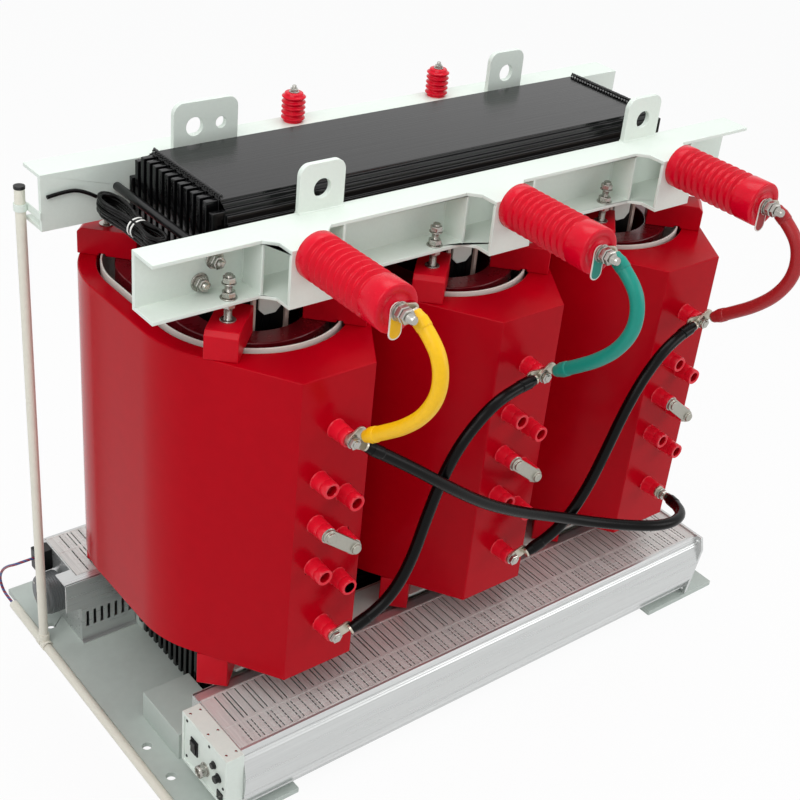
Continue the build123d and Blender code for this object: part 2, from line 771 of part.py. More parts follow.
def fan_body(side, name):
    """Open-topped trough with a bulkhead at the motor end and a plate at the far end."""
    with BuildPart() as trough:
        with BuildSketch(Plane.YZ.offset(bulkhead_near)):
            add(fan_section(side))
            offset(fan_section(side), amount=-fan_wall, mode=Mode.SUBTRACT)
            with Locations((side * (grille_inner + grille_outer) / 2, fan_top)):
                Rectangle(grille_outer - grille_inner, 3 * fan_wall, mode=Mode.SUBTRACT)
        extrude(amount=fan_far - bulkhead_near)
        with BuildSketch(Plane.YZ.offset(bulkhead_near - fan_wall)):
            add(fan_section(side))
            with Locations((side * rotor_y, rotor_z)):
                Circle(shaft_radius + shaft_play, mode=Mode.SUBTRACT)
        extrude(amount=fan_wall)
        if side > 0:
            # hood over the motor, part of the same sheet as the inner wall
            hood_x = bulkhead_near - fan_wall - hood_reach / 2
            with Locations((hood_x, fan_inner + hood_depth / 2, fan_top - fan_wall / 2)):
                Box(hood_reach, hood_depth, fan_wall)
            with Locations((hood_x, fan_inner + fan_wall / 2, fan_top - hood_drop / 2)):
                Box(hood_reach, fan_wall, hood_drop)
    save(trough.part.moved(fan_place(side)), name)


for side, name in ((-1, "front_fan"), (1, "rear_fan")):
    fan_body(side, name + "_trough")
    rotor(side, name + "_impeller")

end_plate = 8.0
end_plate_margin = 5.0
for side, name in ((-1, "front_fan_end_plate"), (1, "rear_fan_end_plate")):
    with BuildPart() as plate_part:
        with BuildSketch(Plane.YZ.offset(fan_far)):
            with BuildLine():
                Polyline((side * fan_inner, fan_top + end_plate_margin),
                         (side * (fan_outer - 4.0), fan_top + end_plate_margin),
                         (side * (fan_outer + 6.0), fan_top - 30.0),
                         (side * (fan_outer - 14.0), fan_foot),
                         (side * (fan_inner + 6.0), fan_foot),
                         (side * fan_inner, 30.0), close=True)
            make_face()
            with Locations((side * rotor_y, rotor_z)):
                Circle(shaft_radius + shaft_play, mode=Mode.SUBTRACT)
            for hole_y, hole_z in ((fan_outer - 14.0, fan_top - 10.0), (fan_outer - 26.0, fan_foot + 12.0)):
                with Locations((side * hole_y, hole_z)):
                    Circle(4.0, mode=Mode.SUBTRACT)
        extrude(amount=end_plate)
    save(plate_part.part.moved(fan_place(side)), name)

slot_pitch = (fan_far - bulkhead_near - 40.0) / slot_count
row_gap = 12.0
row_split = 395.0
for side, name in ((-1, "front_fan_grille"), (1, "rear_fan_grille")):
    with BuildPart() as grille:
        grille_mid = (bulkhead_near + fan_far) / 2
        with Locations((grille_mid, side * (grille_inner + grille_outer) / 2,
                        fan_top - grille_sheet / 2)):
            Box(fan_far - bulkhead_near, grille_outer - grille_inner, grille_sheet)
        for low, high in ((grille_inner + 6.0, row_split - row_gap / 2),
                          (row_split + row_gap / 2, grille_outer - 6.0)):
            with BuildSketch(Plane.XY.offset(fan_top)):
                with Locations((grille_mid, side * (low + high) / 2)):
                    with GridLocations(slot_pitch, 1.0, slot_count, 1):
                        Rectangle(slot_width, high - low)
            extrude(amount=-2 * grille_sheet, mode=Mode.SUBTRACT)
    save(grille.part.moved(fan_place(side)), name)

# the front fan's motor end: a closed box with an electrical panel set into its end
with BuildPart() as front_fan_motor_box:
    box_foot = 62.0
    with BuildSketch(Plane.YZ.offset(fan_near)):
        with Locations((-(fan_inner + 30.0 + fan_outer - 8.0) / 2, (box_foot + fan_top) / 2)):
            Rectangle(fan_outer - 8.0 - fan_inner - 30.0, fan_top - box_foot)
    extrude(amount=bulkhead_near - fan_wall - fan_near)
    with BuildSketch(Plane.YZ.offset(fan_near)):
        with Locations((-(fan_inner + 30.0 + fan_outer - 8.0) / 2, (box_foot + fan_top) / 2)):
            Rectangle(fan_outer - 24.0 - fan_inner - 30.0, fan_top - box_foot - 16.0)
    extrude(amount=4.0, mode=Mode.SUBTRACT)
save(front_fan_motor_box.part, "front_fan_motor_box")

switch_y = 350.0
connector_y = 395.0
panel_face = fan_near + 4.0
with BuildPart() as front_fan_fittings:
    with Locations((panel_face - 5.0, -switch_y, 136.0)):
        Box(10.0, 24.0, 36.0)
    with BuildSketch(Plane.YZ.offset(panel_face)):
        with Locations((-connector_y, 108.0)):
            Circle(16.0)
    extrude(amount=-8.0)
    with BuildSketch(Plane.YZ.offset(panel_face - 8.0)):
        with Locations((-connector_y, 108.0)):
            Circle(12.0)
            Circle(7.0, mode=Mode.SUBTRACT)
    extrude(amount=-16.0)
save(front_fan_fittings.part, "front_fan_fittings")

# the rear fan's motor hangs free outside its bulkhead
motor_radius = 52.0
motor_length = 58.0
with BuildPart() as rear_fan_motor:
    with BuildSketch(Plane.YZ.offset(bulkhead_near - fan_wall)):
        with Locations((rotor_y, rotor_z)):
            Circle(20.0)
    extrude(amount=-6.0)
    with BuildSketch(Plane.YZ.offset(bulkhead_near - fan_wall - 6.0)):
        with Locations((rotor_y, rotor_z)):
            Circle(motor_radius)
    extrude(amount=-motor_length)
    chamfer(rear_fan_motor.edges().group_by(Axis.X)[0], 8.0)
save(rear_fan_motor.part.moved(fan_place(1)), "rear_fan_motor")

capacitor_y = 440.0
with BuildPart() as rear_fan_capacitor:
    with Locations((bulkhead_near - fan_wall - 20.0, capacitor_y, fan_top - 34.0)):
        Box(40.0, 36.0, 60.0)
save(rear_fan_capacitor.part.moved(fan_place(1)), "rear_fan_capacitor")


# ------------------------------------------------------------------ conduit
def tube(plane, length):
    with BuildPart() as pipe:
        with BuildSketch(plane):
            Circle(pipe_radius)
            Circle(pipe_radius - pipe_wall, mode=Mode.SUBTRACT)
        extrude(amount=length)
    return pipe.part


tee_half = 20.0
with BuildPart() as conduit_pipes:
    add(tube(Plane(origin=(pipe_x, riser_y, pipe_radius + tee_half), z_dir=(0, 0, 1)),
             riser_top - pipe_radius - tee_half))
    add(tube(Plane(origin=(pipe_x, riser_y - tee_half, pipe_radius), z_dir=(0, -1, 0)),
             riser_y - tee_half - floor_run_front))
    add(tube(Plane(origin=(pipe_x, riser_y + tee_half, pipe_radius), z_dir=(0, 1, 0)),
             floor_run_rear - riser_y - tee_half))
save(conduit_pipes.part, "conduit_pipes")

with BuildPart() as conduit_tee:
    with BuildSketch(Plane(origin=(pipe_x, riser_y + tee_half, pipe_radius), z_dir=(0, -1, 0))):
        Circle(pipe_radius)
    extrude(amount=2 * tee_half)
    with BuildSketch(Plane(origin=(pipe_x, riser_y, pipe_radius), z_dir=(0, 0, 1))):
        Circle(pipe_radius)
    extrude(amount=tee_half)
save(conduit_tee.part, "conduit_tee")

with BuildPart() as conduit_cap:
    with Locations((pipe_x, riser_y, riser_top)):
        Cylinder(pipe_radius + 1.0, 7.0, align=(Align.CENTER, Align.CENTER, Align.MIN))
save(conduit_cap.part, "conduit_cap")

clip_height = 1170.0
with BuildPart() as conduit_clip:
    with Locations((pipe_x, riser_y, clip_height)):
        Cylinder(pipe_radius + 3.0, 16.0)
        Cylinder(pipe_radius + 0.05, 16.0, mode=Mode.SUBTRACT)
    with Locations(((-upper_clamp_half + pipe_x + pipe_radius + 1.0) / 2, clamp_inner + 5.0 + 24.0,
                    clip_height)):
        Box(-upper_clamp_half - pipe_x - pipe_radius - 1.0, 62.0, 16.0)
save(conduit_clip.part, "conduit_clip")

# ------------------------------------------------------------------ leads, cables and their lugs
# A route is a list of points; every corner is rounded as far as its two runs allow.
lead_route = [(34, -592, 1222), (40, -633, 1193), (43, -656, 1149), (42, -656, 1094),
              (36, -630, 1040), (29, -588, 996), (24, -546, 964), (20, -510, 938)]
cable_routes = {
    "cable_a_c": [(-458, -486, 886), (-384, -504, 836), (-288, -524, 762), (-172, -525, 674),
                  (-48, -519, 600), (85, -518, 536), (180, -541, 500), (262, -575, 481),
                  (328, -604, 472), (384, -612, 466), (432, -596, 458), (464, -562, 449),
                  (483, -520, 438)],
    "cable_b_a": [(-451, -486, 440), (-402, -492, 464), (-358, -497, 514), (-328, -500, 584),
                  (-303, -497, 664), (-275, -496, 746), (-238, -497, 822), (-184, -499, 882),
                  (-118, -494, 912), (-51, -487, 915)],
    "cable_c_b": [(49, -486, 440), (100, -492, 462), (150, -497, 510), (190, -500, 578),
                  (222, -502, 660), (253, -503, 744), (296, -501, 820), (352, -497, 876),
                  (412, -491, 904), (449, -487, 911)],
}
motor_wire_route = [(-785, 370, 176), (-812, 370, 176), (-829, 386, 162), (-833, 418, 138),
                    (-834, 452, 104), (-833, 476, 62), (-829, 470, 26), (-825, 446, 13),
                    (-823.3, 420, 11)]
sensor_route = [(-693, 170, 1197), (-716, 177, 1211), (-750, 180.7, 1218),
                (-796, 180.7, 1211)]


def corner_radii(route):
    """The largest arc each corner can take: 0.45 of its shorter run."""
    radii = []
    for before, corner, after in zip(route, route[1:], route[2:]):
        arriving = Vector(*corner) - Vector(*before)
        leaving = Vector(*after) - Vector(*corner)
        half_turn = math.radians(arriving.get_angle(leaving)) / 2
        shorter = min(arriving.length, leaving.length)
        radii.append(0.45 * shorter / math.tan(half_turn))
    return radii


def cord(route, radius, name):
    """A round cord swept along its rounded route."""
    radii = corner_radii(route)
    with BuildPart() as tube_part:
        with BuildLine() as path:
            FilletPolyline(*route, radius=radii)
        run = path.wires()[0]
        with BuildSketch(Plane(origin=run @ 0, z_dir=run % 0)):
            Circle(radius)
        sweep()
    filled = tube_part.part.volume / (math.pi * radius ** 2 * run.length)
    print(name, "smallest bend", round(min(radii)), "of diameter", 2 * radius,
          "volume ratio", round(filled, 4))
    save(tube_part.part, name)


def shifted(route, phase):
    return [(x + phase, y, z) for x, y, z in route]


for phase, letter in zip(phases, "abc"):
    cord(shifted(lead_route, phase), lead_radius, "phase_lead_" + letter)
for name, route in cable_routes.items():
    cord(route, cable_radius, name)
cord(motor_wire_route, 3.5, "motor_wire")
cord(sensor_route, 4.0, "sensor_wire")

lug_tongue = 28.0             # hole axis to where the barrel starts
barrel_radius = 11.0


def cable_lug(axis_point, seat, end, heading, barrel):
    """A flat palm on its stud and a round barrel that takes the cord's end.

    axis_point is (x, z) of the stud, seat the palm's face, end the cord's end and
    heading the way the cord leaves the lug.
    """
    toward = (Vector(*end) - heading * barrel)
    lean = math.degrees(math.atan2(toward.Z - axis_point[1], toward.X - axis_point[0]))
    reach = math.hypot(toward.Z - axis_point[1], toward.X - axis_point[0])
    with BuildPart() as lug:
        with BuildSketch(Plane(origin=(axis_point[0], -seat, axis_point[1]), x_dir=(1, 0, 0),
                               z_dir=(0, -1, 0))):
            with Locations(Location((0, 0, 0), (0, 0, lean))):
                with Locations((reach / 2, 0)):
                    SlotCenterToCenter(reach, 2 * palm_radius)
        extrude(amount=palm)
        with BuildSketch(Plane(origin=toward, z_dir=heading)):
            Circle(barrel_radius)
        extrude(amount=barrel)
    return lug.part


def heading_of(route):
    return (Vector(*route[1]) - Vector(*route[0])).normalized()


lead_palm_seat = bushing_end + tag
with BuildPart() as cable_lugs:
    for phase in phases:
        route = shifted(lead_route, phase)
        top_lug = cable_lug((phase, bushing_height), lead_palm_seat, route[0],
                            heading_of(route), 20.0)
        add(top_lug)
        with BuildSketch(bushing_plane(phase, bushing_end)):
            Circle(stud_radius)
        extrude(amount=stud_reach, mode=Mode.SUBTRACT)
        route.reverse()
        add(cable_lug((phase, end_terminals[0][1]), terminal_seat + palm, route[0],
                      heading_of(route), 22.0))
    for name, start, start_row, finish, finish_row in (
        ("cable_a_c", phases[0], 0, phases[2], 1),
        ("cable_b_a", phases[0], 1, phases[1], 0),
        ("cable_c_b", phases[1], 1, phases[2], 0),
    ):
        route = cable_routes[name]
        add(cable_lug((start, end_terminals[start_row][1]), terminal_seat, route[0],
                      heading_of(route), 20.0))
        route = route[::-1]
        add(cable_lug((finish, end_terminals[finish_row][1]), terminal_seat, route[0],
                      heading_of(route), 20.0))
save(cable_lugs.part, "cable_lugs")

# ------------------------------------------------------------------ sensor cable hank
hank_x = -690.0
hank_width = 62.0
hank_rest = rod_places[1][1] + sleeve_radius + 0.3
hank_height = 44.0
with BuildPart() as sensor_hank:
    with BuildSketch(Plane.XY.offset(hank_rest)):
        with Locations((hank_x, 30.0)):
            SlotCenterToCenter(280.0 - hank_width, hank_width, rotation=90)
    extrude(amount=hank_height)
    fillet(sensor_hank.edges().group_by(Axis.Z)[-1] + sensor_hank.edges().group_by(Axis.Z)[0],
           15.0)
save(sensor_hank.part, "sensor_hank")
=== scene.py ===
import math
import random
import bmesh
import bpy
from mathutils import Matrix, Vector


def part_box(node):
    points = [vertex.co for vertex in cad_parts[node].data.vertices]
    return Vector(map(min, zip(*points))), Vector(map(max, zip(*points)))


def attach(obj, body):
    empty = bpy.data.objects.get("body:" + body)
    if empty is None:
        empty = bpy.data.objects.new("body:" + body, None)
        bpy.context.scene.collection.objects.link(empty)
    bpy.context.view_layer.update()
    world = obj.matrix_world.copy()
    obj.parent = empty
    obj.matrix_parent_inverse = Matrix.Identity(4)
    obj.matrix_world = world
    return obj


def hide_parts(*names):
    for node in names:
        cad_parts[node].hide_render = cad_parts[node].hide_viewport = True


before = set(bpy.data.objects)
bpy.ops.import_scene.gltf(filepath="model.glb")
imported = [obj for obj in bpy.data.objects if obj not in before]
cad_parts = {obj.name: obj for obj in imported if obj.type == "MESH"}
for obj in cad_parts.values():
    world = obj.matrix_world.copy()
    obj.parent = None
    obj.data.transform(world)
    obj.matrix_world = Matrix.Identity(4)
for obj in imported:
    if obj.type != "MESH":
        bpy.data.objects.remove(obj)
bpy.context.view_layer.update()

random.seed(7)

# ---------------------------------------------------------------- cast high-voltage windings
# Each phase has one winding cast in filled epoxy resin, with a flat tap panel at the front.
# It comes out of its mould with a deep red gloss and softly rounded edges.
phase_x = [(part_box("hv_coil_" + letter)[0][0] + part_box("hv_coil_" + letter)[1][0]) / 2
           for letter in "abc"]
winding_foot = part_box("hv_coil_a")[0][2]
winding_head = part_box("hv_coil_a")[1][2]
boss_tip = -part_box("hv_coil_a")[0][1]
boss_length = 0.045


def shade(red, green, blue):
    """A paint-chart colour, 0 to 255, as linear light."""
    return [((value / 255 + 0.055) / 1.055) ** 2.4 if value > 10 else value / 3294.6
            for value in (red, green, blue)] + [1.0]


def finish(name, colour, roughness, metal=0.0, coat=0.0, grain=60.0, relief=0.05, tone=0.08,
           spread=0.06, stretch=(1.0, 1.0, 1.0), cloud=3.0, shine=0.35):
    """A worked surface: fine grain and broad clouding in colour, gloss and relief."""
    surface = bpy.data.materials.new(name)
    surface.use_nodes = True
    tree = surface.node_tree
    tree.nodes.clear()
    place = tree.nodes.new("ShaderNodeTexCoord")
    scale = tree.nodes.new("ShaderNodeMapping")
    scale.inputs["Scale"].default_value = stretch
    tree.links.new(place.outputs["Object"], scale.inputs["Vector"])
    fine = tree.nodes.new("ShaderNodeTexNoise")
    fine.inputs["Scale"].default_value = grain
    fine.inputs["Detail"].default_value = 5.0
    broad = tree.nodes.new("ShaderNodeTexNoise")
    broad.inputs["Scale"].default_value = cloud
    broad.inputs["Detail"].default_value = 3.0
    tree.links.new(scale.outputs["Vector"], fine.inputs["Vector"])
    tree.links.new(scale.outputs["Vector"], broad.inputs["Vector"])
    both = tree.nodes.new("ShaderNodeMath")
    both.operation = "MULTIPLY_ADD"
    both.inputs[1].default_value = 0.4
    tree.links.new(fine.outputs["Fac"], both.inputs[0])
    half = tree.nodes.new("ShaderNodeMath")
    half.operation = "MULTIPLY"
    half.inputs[1].default_value = 0.6
    tree.links.new(broad.outputs["Fac"], half.inputs[0])
    tree.links.new(half.outputs["Value"], both.inputs[2])
    colours = tree.nodes.new("ShaderNodeValToRGB")
    ends = colours.color_ramp.elements
    for end, position, change in ((ends[0], 0.3, 1 - tone), (ends[1], 0.7, 1 + tone)):
        end.position = position
        end.color = [min(1.0, part * change) for part in colour[:3]] + [1.0]
    tree.links.new(both.outputs["Value"], colours.inputs["Fac"])
    gloss = tree.nodes.new("ShaderNodeMapRange")
    gloss.inputs["From Min"].default_value = 0.3
    gloss.inputs["From Max"].default_value = 0.7
    gloss.inputs["To Min"].default_value = max(0.03, roughness - spread)
    gloss.inputs["To Max"].default_value = roughness + spread
    tree.links.new(both.outputs["Value"], gloss.inputs["Value"])
    bump = tree.nodes.new("ShaderNodeBump")
    bump.inputs["Strength"].default_value = relief
    bump.inputs["Distance"].default_value = 0.001
    tree.links.new(fine.outputs["Fac"], bump.inputs["Height"])
    body = tree.nodes.new("ShaderNodeBsdfPrincipled")
    body.inputs["Metallic"].default_value = metal
    body.inputs["Specular IOR Level"].default_value = shine
    body.inputs["Coat Weight"].default_value = coat
    body.inputs["Coat Roughness"].default_value = 0.08
    tree.links.new(colours.outputs["Color"], body.inputs["Base Color"])
    tree.links.new(gloss.outputs["Result"], body.inputs["Roughness"])
    tree.links.new(bump.outputs["Normal"], body.inputs["Normal"])
    out = tree.nodes.new("ShaderNodeOutputMaterial")
    tree.links.new(body.outputs["BSDF"], out.inputs["Surface"])
    return surface


def round_edges(part, width, steps=2):
    """Small radii on every sharp edge, as casting, folding and painting leave them."""
    edges = part.modifiers.new("Edge radii", "BEVEL")
    edges.width = width
    edges.segments = steps
    edges.limit_method = "ANGLE"
    edges.angle_limit = math.radians(38)
    edges.use_clamp_overlap = False
    part.modifiers.new("Even shading", "WEIGHTED_NORMAL")


def dress(node, surface, width=0.0, steps=2, whole=True):
    """Give a solid of the frame its finish and its edge radii."""
    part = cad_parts[node]
    for holder in part.material_slots:
        holder.link = "OBJECT"
        holder.material = surface
    if width:
        join = part.modifiers.new("Joined faces", "WELD")
        join.merge_threshold = 0.00002
        if whole:
            flat = part.modifiers.new("Whole faces", "DECIMATE")
            flat.decimate_type = "DISSOLVE"
            flat.angle_limit = math.radians(0.6)
        round_edges(part, width, steps)
    return part


cast_red = finish("cast_red", shade(178, 0, 20), 0.22, coat=0.0, grain=35.0, relief=0.02,
                  tone=0.07, cloud=2.2, shine=0.07)
for letter in "abc":
    dress("hv_coil_" + letter, cast_red, 0.003, 3)

# Tap sockets have a tapered neck, a groove, then a collar round the mouth; their red is painted
# lighter than the winding's as a painted highlight.
# They are cast with the winding and stand square to the tap panel.
panel_middle = (winding_foot + winding_head) / 2
tap_column = 0.033
left_taps = [(-tap_column, panel_middle + 0.107 * step) for step in (1.25, 0.25, -0.75)]
right_taps = [(tap_column, panel_middle + 0.107 * step) for step in (0.75, -0.25, -1.25)]
end_terminals = [(0.0, panel_middle + 0.244), (0.0, panel_middle - 0.244)]


def aim(point, direction):
    """A place whose own Z runs along the direction."""
    turn = Vector(direction).to_track_quat("Z", "Y").to_matrix().to_4x4()
    return Matrix.Translation(Vector(point)) @ turn


def lathe(mesh, profile, place, turns=48):
    """Turn a profile of (radius, height) about the place's own Z."""
    rings = []
    for radius, height in profile:
        count = 1 if radius < 1e-7 else turns
        ring = []
        for step in range(count):
            angle = 2 * math.pi * step / turns
            spot = Vector((radius * math.cos(angle), radius * math.sin(angle), height))
            ring.append(mesh.verts.new(place @ spot))
        rings.append(ring)
    for lower, upper in zip(rings, rings[1:]):
        for step in range(turns):
            corners = [lower[step % len(lower)], lower[(step + 1) % len(lower)],
                       upper[(step + 1) % len(upper)], upper[step % len(upper)]]
            corners = list(dict.fromkeys(corners))
            if len(corners) > 2:
                mesh.faces.new(corners)


def piece(name, mesh, surface, replaced=(), crease=34.0):
    """Turn a finished mesh into a piece that belongs to the transformer."""
    bmesh.ops.recalc_face_normals(mesh, faces=mesh.faces)
    shape = bpy.data.meshes.new(name)
    mesh.to_mesh(shape)
    mesh.free()
    shape.materials.append(surface)
    shape.shade_smooth()
    shape.set_sharp_from_angle(angle=math.radians(crease))
    made = bpy.data.objects.new(name, shape)
    bpy.context.scene.collection.objects.link(made)
    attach(made, "transformer")
    if replaced:
        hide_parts(*replaced)
    return made


# A lighter copy of the cast red: painted highlight where the sockets catch the light.
socket_red_painted_highlight = finish("socket_red_painted_highlight", shade(222, 18, 42), 0.3, coat=0.05, grain=90.0, relief=0.03)
socket = [(0.0215, 0.0), (0.0203, 0.0008), (0.0198, 0.003), (0.0193, 0.016), (0.0188, 0.0268),
          (0.0186, 0.0275), (0.0174, 0.0278), (0.0174, 0.029), (0.0184, 0.0293),
          (0.0186, 0.0302), (0.0184, 0.0435), (0.0176, 0.0453), (0.0130, 0.0456),
          (0.0121, 0.0448), (0.0116, 0.043), (0.0113, 0.0436)]
mesh = bmesh.new()
for x in phase_x:
    for tap_x, tap_z in left_taps + right_taps + end_terminals:
        lathe(mesh, socket, aim((x + tap_x, -(boss_tip - boss_length), tap_z), (0, -1, 0)), 40)
piece("tap_sockets", mesh, socket_red_painted_highlight, crease=50.0)

# ---------------------------------------------------------------- low-voltage windings
# Foil windings sit inside the cast ones, soaked and capped with dark resin.
# A thin white glass-fibre cylinder stands in the air gap between the two.
foil_resin = finish("foil_resin", shade(98, 6, 18), 0.28, coat=0.15, grain=48.0, relief=0.25,
                    tone=0.3, cloud=9.0)
for letter in "abc":
    dress("lv_coil_" + letter, foil_resin, 0.003, 3)
glass_fibre = finish("glass_fibre", shade(226, 223, 214), 0.5, grain=220.0, relief=0.12,
                     tone=0.06)
dress("barrier_cylinders", glass_fibre, 0.001)

# ---------------------------------------------------------------- core
# The core is cut from silicon-steel sheets in stepped packets, clamped and brushed with
# black varnish. The sheet ends stand out at both ends of the yokes like a comb.
varnish = finish("core_varnish", shade(9, 9, 10), 0.13, grain=7.0, relief=0.35, tone=0.6,
                 spread=0.1, stretch=(0.35, 30.0, 30.0), cloud=2.0, shine=0.3)
for node in ("upper_yoke", "lower_yoke"):
    dress(node, varnish, 0.0016)
limb_varnish = finish("limb_varnish", shade(10, 10, 11), 0.3, grain=9.0,
                      relief=0.3, tone=0.4, stretch=(42.0, 42.0, 0.5))
dress("core_limbs", limb_varnish, 0.0012)

# Strips of pressboard keep the steel clamps off the sheets, glued in place.
pressboard = finish("pressboard", shade(214, 196, 184), 0.65, grain=160.0, relief=0.2, tone=0.12)
dress("core_insulation", pressboard, 0.0008)


# A twisted cord of varnished glass yarn seals the joint between sheets and comb.
def skin(mesh, rings, capped=True):
    """Close the faces between rings of equal count, and the two end rings if capped."""
    for lower, upper in zip(rings, rings[1:]):
        for corner in range(len(lower)):
            follow = (corner + 1) % len(lower)
            mesh.faces.new((lower[corner], lower[follow], upper[follow], upper[corner]))
    if capped:
        mesh.faces.new(rings[0])
        mesh.faces.new(rings[-1])


rope_black = finish("rope_black", shade(20, 20, 21), 0.4, coat=0.2, grain=300.0, relief=0.3)
rope_low, rope_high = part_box("joint_beads")
rope_centre = (rope_low[2] + rope_high[2]) / 2
rope_steps = 150
strand_radius = 0.0027
strand_offset = 0.0021
strand_lay = 0.018
mesh = bmesh.new()
for side in (-1, 1):
    rope_x = side * (rope_high[0] - 0.005)
    for strand in (0.0, math.pi):
        rings = []
        for step in range(rope_steps + 1):
            y = rope_low[1] + 0.003 + (rope_high[1] - rope_low[1] - 0.006) * step / rope_steps
            turn = strand + 2 * math.pi * y / strand_lay
            centre = Vector((rope_x + strand_offset * math.cos(turn), y,
                             rope_centre + strand_offset * math.sin(turn)))
            ring = []
            for corner in range(8):
                angle = 2 * math.pi * corner / 8
                ring.append(mesh.verts.new(centre + Vector((strand_radius * math.cos(angle), 0,
                                                            strand_radius * math.sin(angle)))))
            rings.append(ring)
        skin(mesh, rings)
piece("joint_ropes", mesh, rope_black, ["joint_beads"], crease=60.0)


# Flat steel tie plates run down both faces of each limb and end in cropped corners.
def block(mesh, low, high):
    """A plain block between two corners; only some of the pieces built from it have their edges
    rounded later.
    """
    corners = [mesh.verts.new((x, y, z)) for x in (low[0], high[0]) for y in (low[1], high[1])
               for z in (low[2], high[2])]
    for face in ((0, 1, 3, 2), (4, 6, 7, 5), (0, 4, 5, 1), (2, 3, 7, 6), (0, 2, 6, 4),
                 (1, 5, 7, 3)):
        mesh.faces.new([corners[index] for index in face])


def slab(mesh, outline, place, thickness):
    """A plate with that outline, in the place's own X and Y, grown along its Z."""
    lower = [mesh.verts.new(place @ Vector((u, v, 0))) for u, v in outline]
    upper = [mesh.verts.new(place @ Vector((u, v, thickness))) for u, v in outline]
    mesh.faces.new(lower[::-1])
    mesh.faces.new(upper)
    for index in range(len(outline)):
        follow = (index + 1) % len(outline)
        mesh.faces.new((lower[index], lower[follow], upper[follow], upper[index]))


clamp_grey = finish("clamp_grey", shade(226, 235, 226), 0.38, coat=0.12, grain=140.0,
                    relief=0.06, tone=0.035, cloud=4.0)
core_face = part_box("core_limbs")[1][1]
clamp_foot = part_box("upper_clamp_front")[0][2]
mesh = bmesh.new()
tie_half = 0.027
tie_low = winding_head + 0.012
for x in phase_x:
    for face in (-1, 1):
        outline = [(x - tie_half, clamp_foot - 0.003), (x - tie_half, tie_low + 0.014),
                   (x - tie_half + 0.014, tie_low), (x + tie_half - 0.014, tie_low),
                   (x + tie_half, tie_low + 0.014), (x + tie_half, clamp_foot - 0.003)]
        upright = Matrix.Translation((0, face * core_face, 0)) @ Matrix(
            ((1, 0, 0, 0), (0, 0, face, 0), (0, 1, 0, 0), (0, 0, 0, 1)))
        slab(mesh, outline, upright, 0.005)
round_edges(piece("limb_tie_plates", mesh, clamp_grey), 0.0008)

# ---------------------------------------------------------------- clamps
# Folded steel channels press the yokes together, with welded ribs, bushing seats and
# lifting lugs, all powder coated in a pale grey-green.
for node in ("upper_clamp_front", "upper_clamp_rear", "lower_clamp_front", "lower_clamp_rear"):
    dress(node, clamp_grey, 0.0012, 2, node.endswith("front"))


def weld(mesh, start, end, radius):
    """A fillet weld under the paint: a low bead with the ripples of each pass."""
    start, end = Vector(start), Vector(end)
    run = (end - start).length
    count = max(6, int(run / 0.003))
    place = aim(start, end - start)
    rings = []
    for step in range(count + 1):
        swell = radius * (0.82 + 0.18 * abs(math.sin(step * math.pi / 2.0)))
        ring = []
        for corner in range(8):
            angle = 2 * math.pi * corner / 8
            ring.append(mesh.verts.new(place @ Vector((swell * math.cos(angle),
                                                       swell * math.sin(angle),
                                                       run * step / count))))
        rings.append(ring)
    skin(mesh, rings)


web_face = 0.195
rib_half = 0.003
rib_weld = 0.0028
clamp_head = clamp_foot + 0.122
lower_head = 0.198
lower_foot = 0.100
mesh = bmesh.new()
for x in phase_x:
    for rib_x in (x - 0.074, x + 0.112):
        for side in (-1, 1):
            for face in (-1, 1):
                toe = rib_x + side * rib_half
                weld(mesh, (toe, face * web_face, clamp_foot + 0.012),
                     (toe, face * web_face, clamp_head - 0.012), rib_weld)
    for rib_x in (x - 0.112, x + 0.112):
        for side in (-1, 1):
            toe = rib_x + side * rib_half
            weld(mesh, (toe, -web_face, lower_foot), (toe, -web_face, lower_head), rib_weld)
for lug_x, lug_half, face in ((-0.401, 0.0535, -1), (0.497, 0.0535, -1), (-0.430, 0.078, 1),
                              (0.414, 0.0535, 1)):
    for lug_y in (0.1855, 0.1965):
        weld(mesh, (lug_x - lug_half, face * lug_y, clamp_head),
             (lug_x + lug_half, face * lug_y, clamp_head), 0.003)
piece("clamp_welds", mesh, clamp_grey, crease=70.0)

# ---------------------------------------------------------------- support blocks
# Moulded red epoxy blocks carry each winding and hold it down from above.
block_red = finish("block_red", shade(196, 3, 27), 0.34, grain=70.0, relief=0.04, shine=0.15)
for letter in "abc":
    dress("support_blocks_" + letter, block_red, 0.002)

# Each upper block is pressed down by a plated threaded rod with nuts above and below the
# clamp's flange; a round washer spreads its force on the block.
plated = finish("plated_steel", shade(176, 174, 168), 0.27, metal=1.0, grain=120.0, relief=0.08,
                tone=0.12, spread=0.1)


def nut(mesh, place, corner_radius, height, bore):
    """A hexagon nut with chamfered corners round a bore."""
    lathe(mesh, [(bore, 0.0), (corner_radius * 0.88, 0.0), (corner_radius, height * 0.14),
                 (corner_radius, height * 0.86), (corner_radius * 0.88, height),
                 (bore, height)], place, 6)


def thread(mesh, place, radius, length, pitch=0.002):
    """A threaded rod with a chamfered end."""
    profile = [(0.0, 0.0)]
    turns = int(length / pitch)
    for turn in range(turns):
        profile.append((radius * 0.88, turn * pitch))
        profile.append((radius, (turn + 0.5) * pitch))
    profile.append((radius * 0.8, length))
    profile.append((0.0, length))
    lathe(mesh, profile, place, 20)


def washer(mesh, place, radius, thickness):
    """A flat washer with softened rims."""
    lathe(mesh, [(0.0, 0.0), (radius - 0.0006, 0.0), (radius, 0.0006),
                 (radius, thickness - 0.0006), (radius - 0.0006, thickness), (0.0, thickness)],
          place, 32)


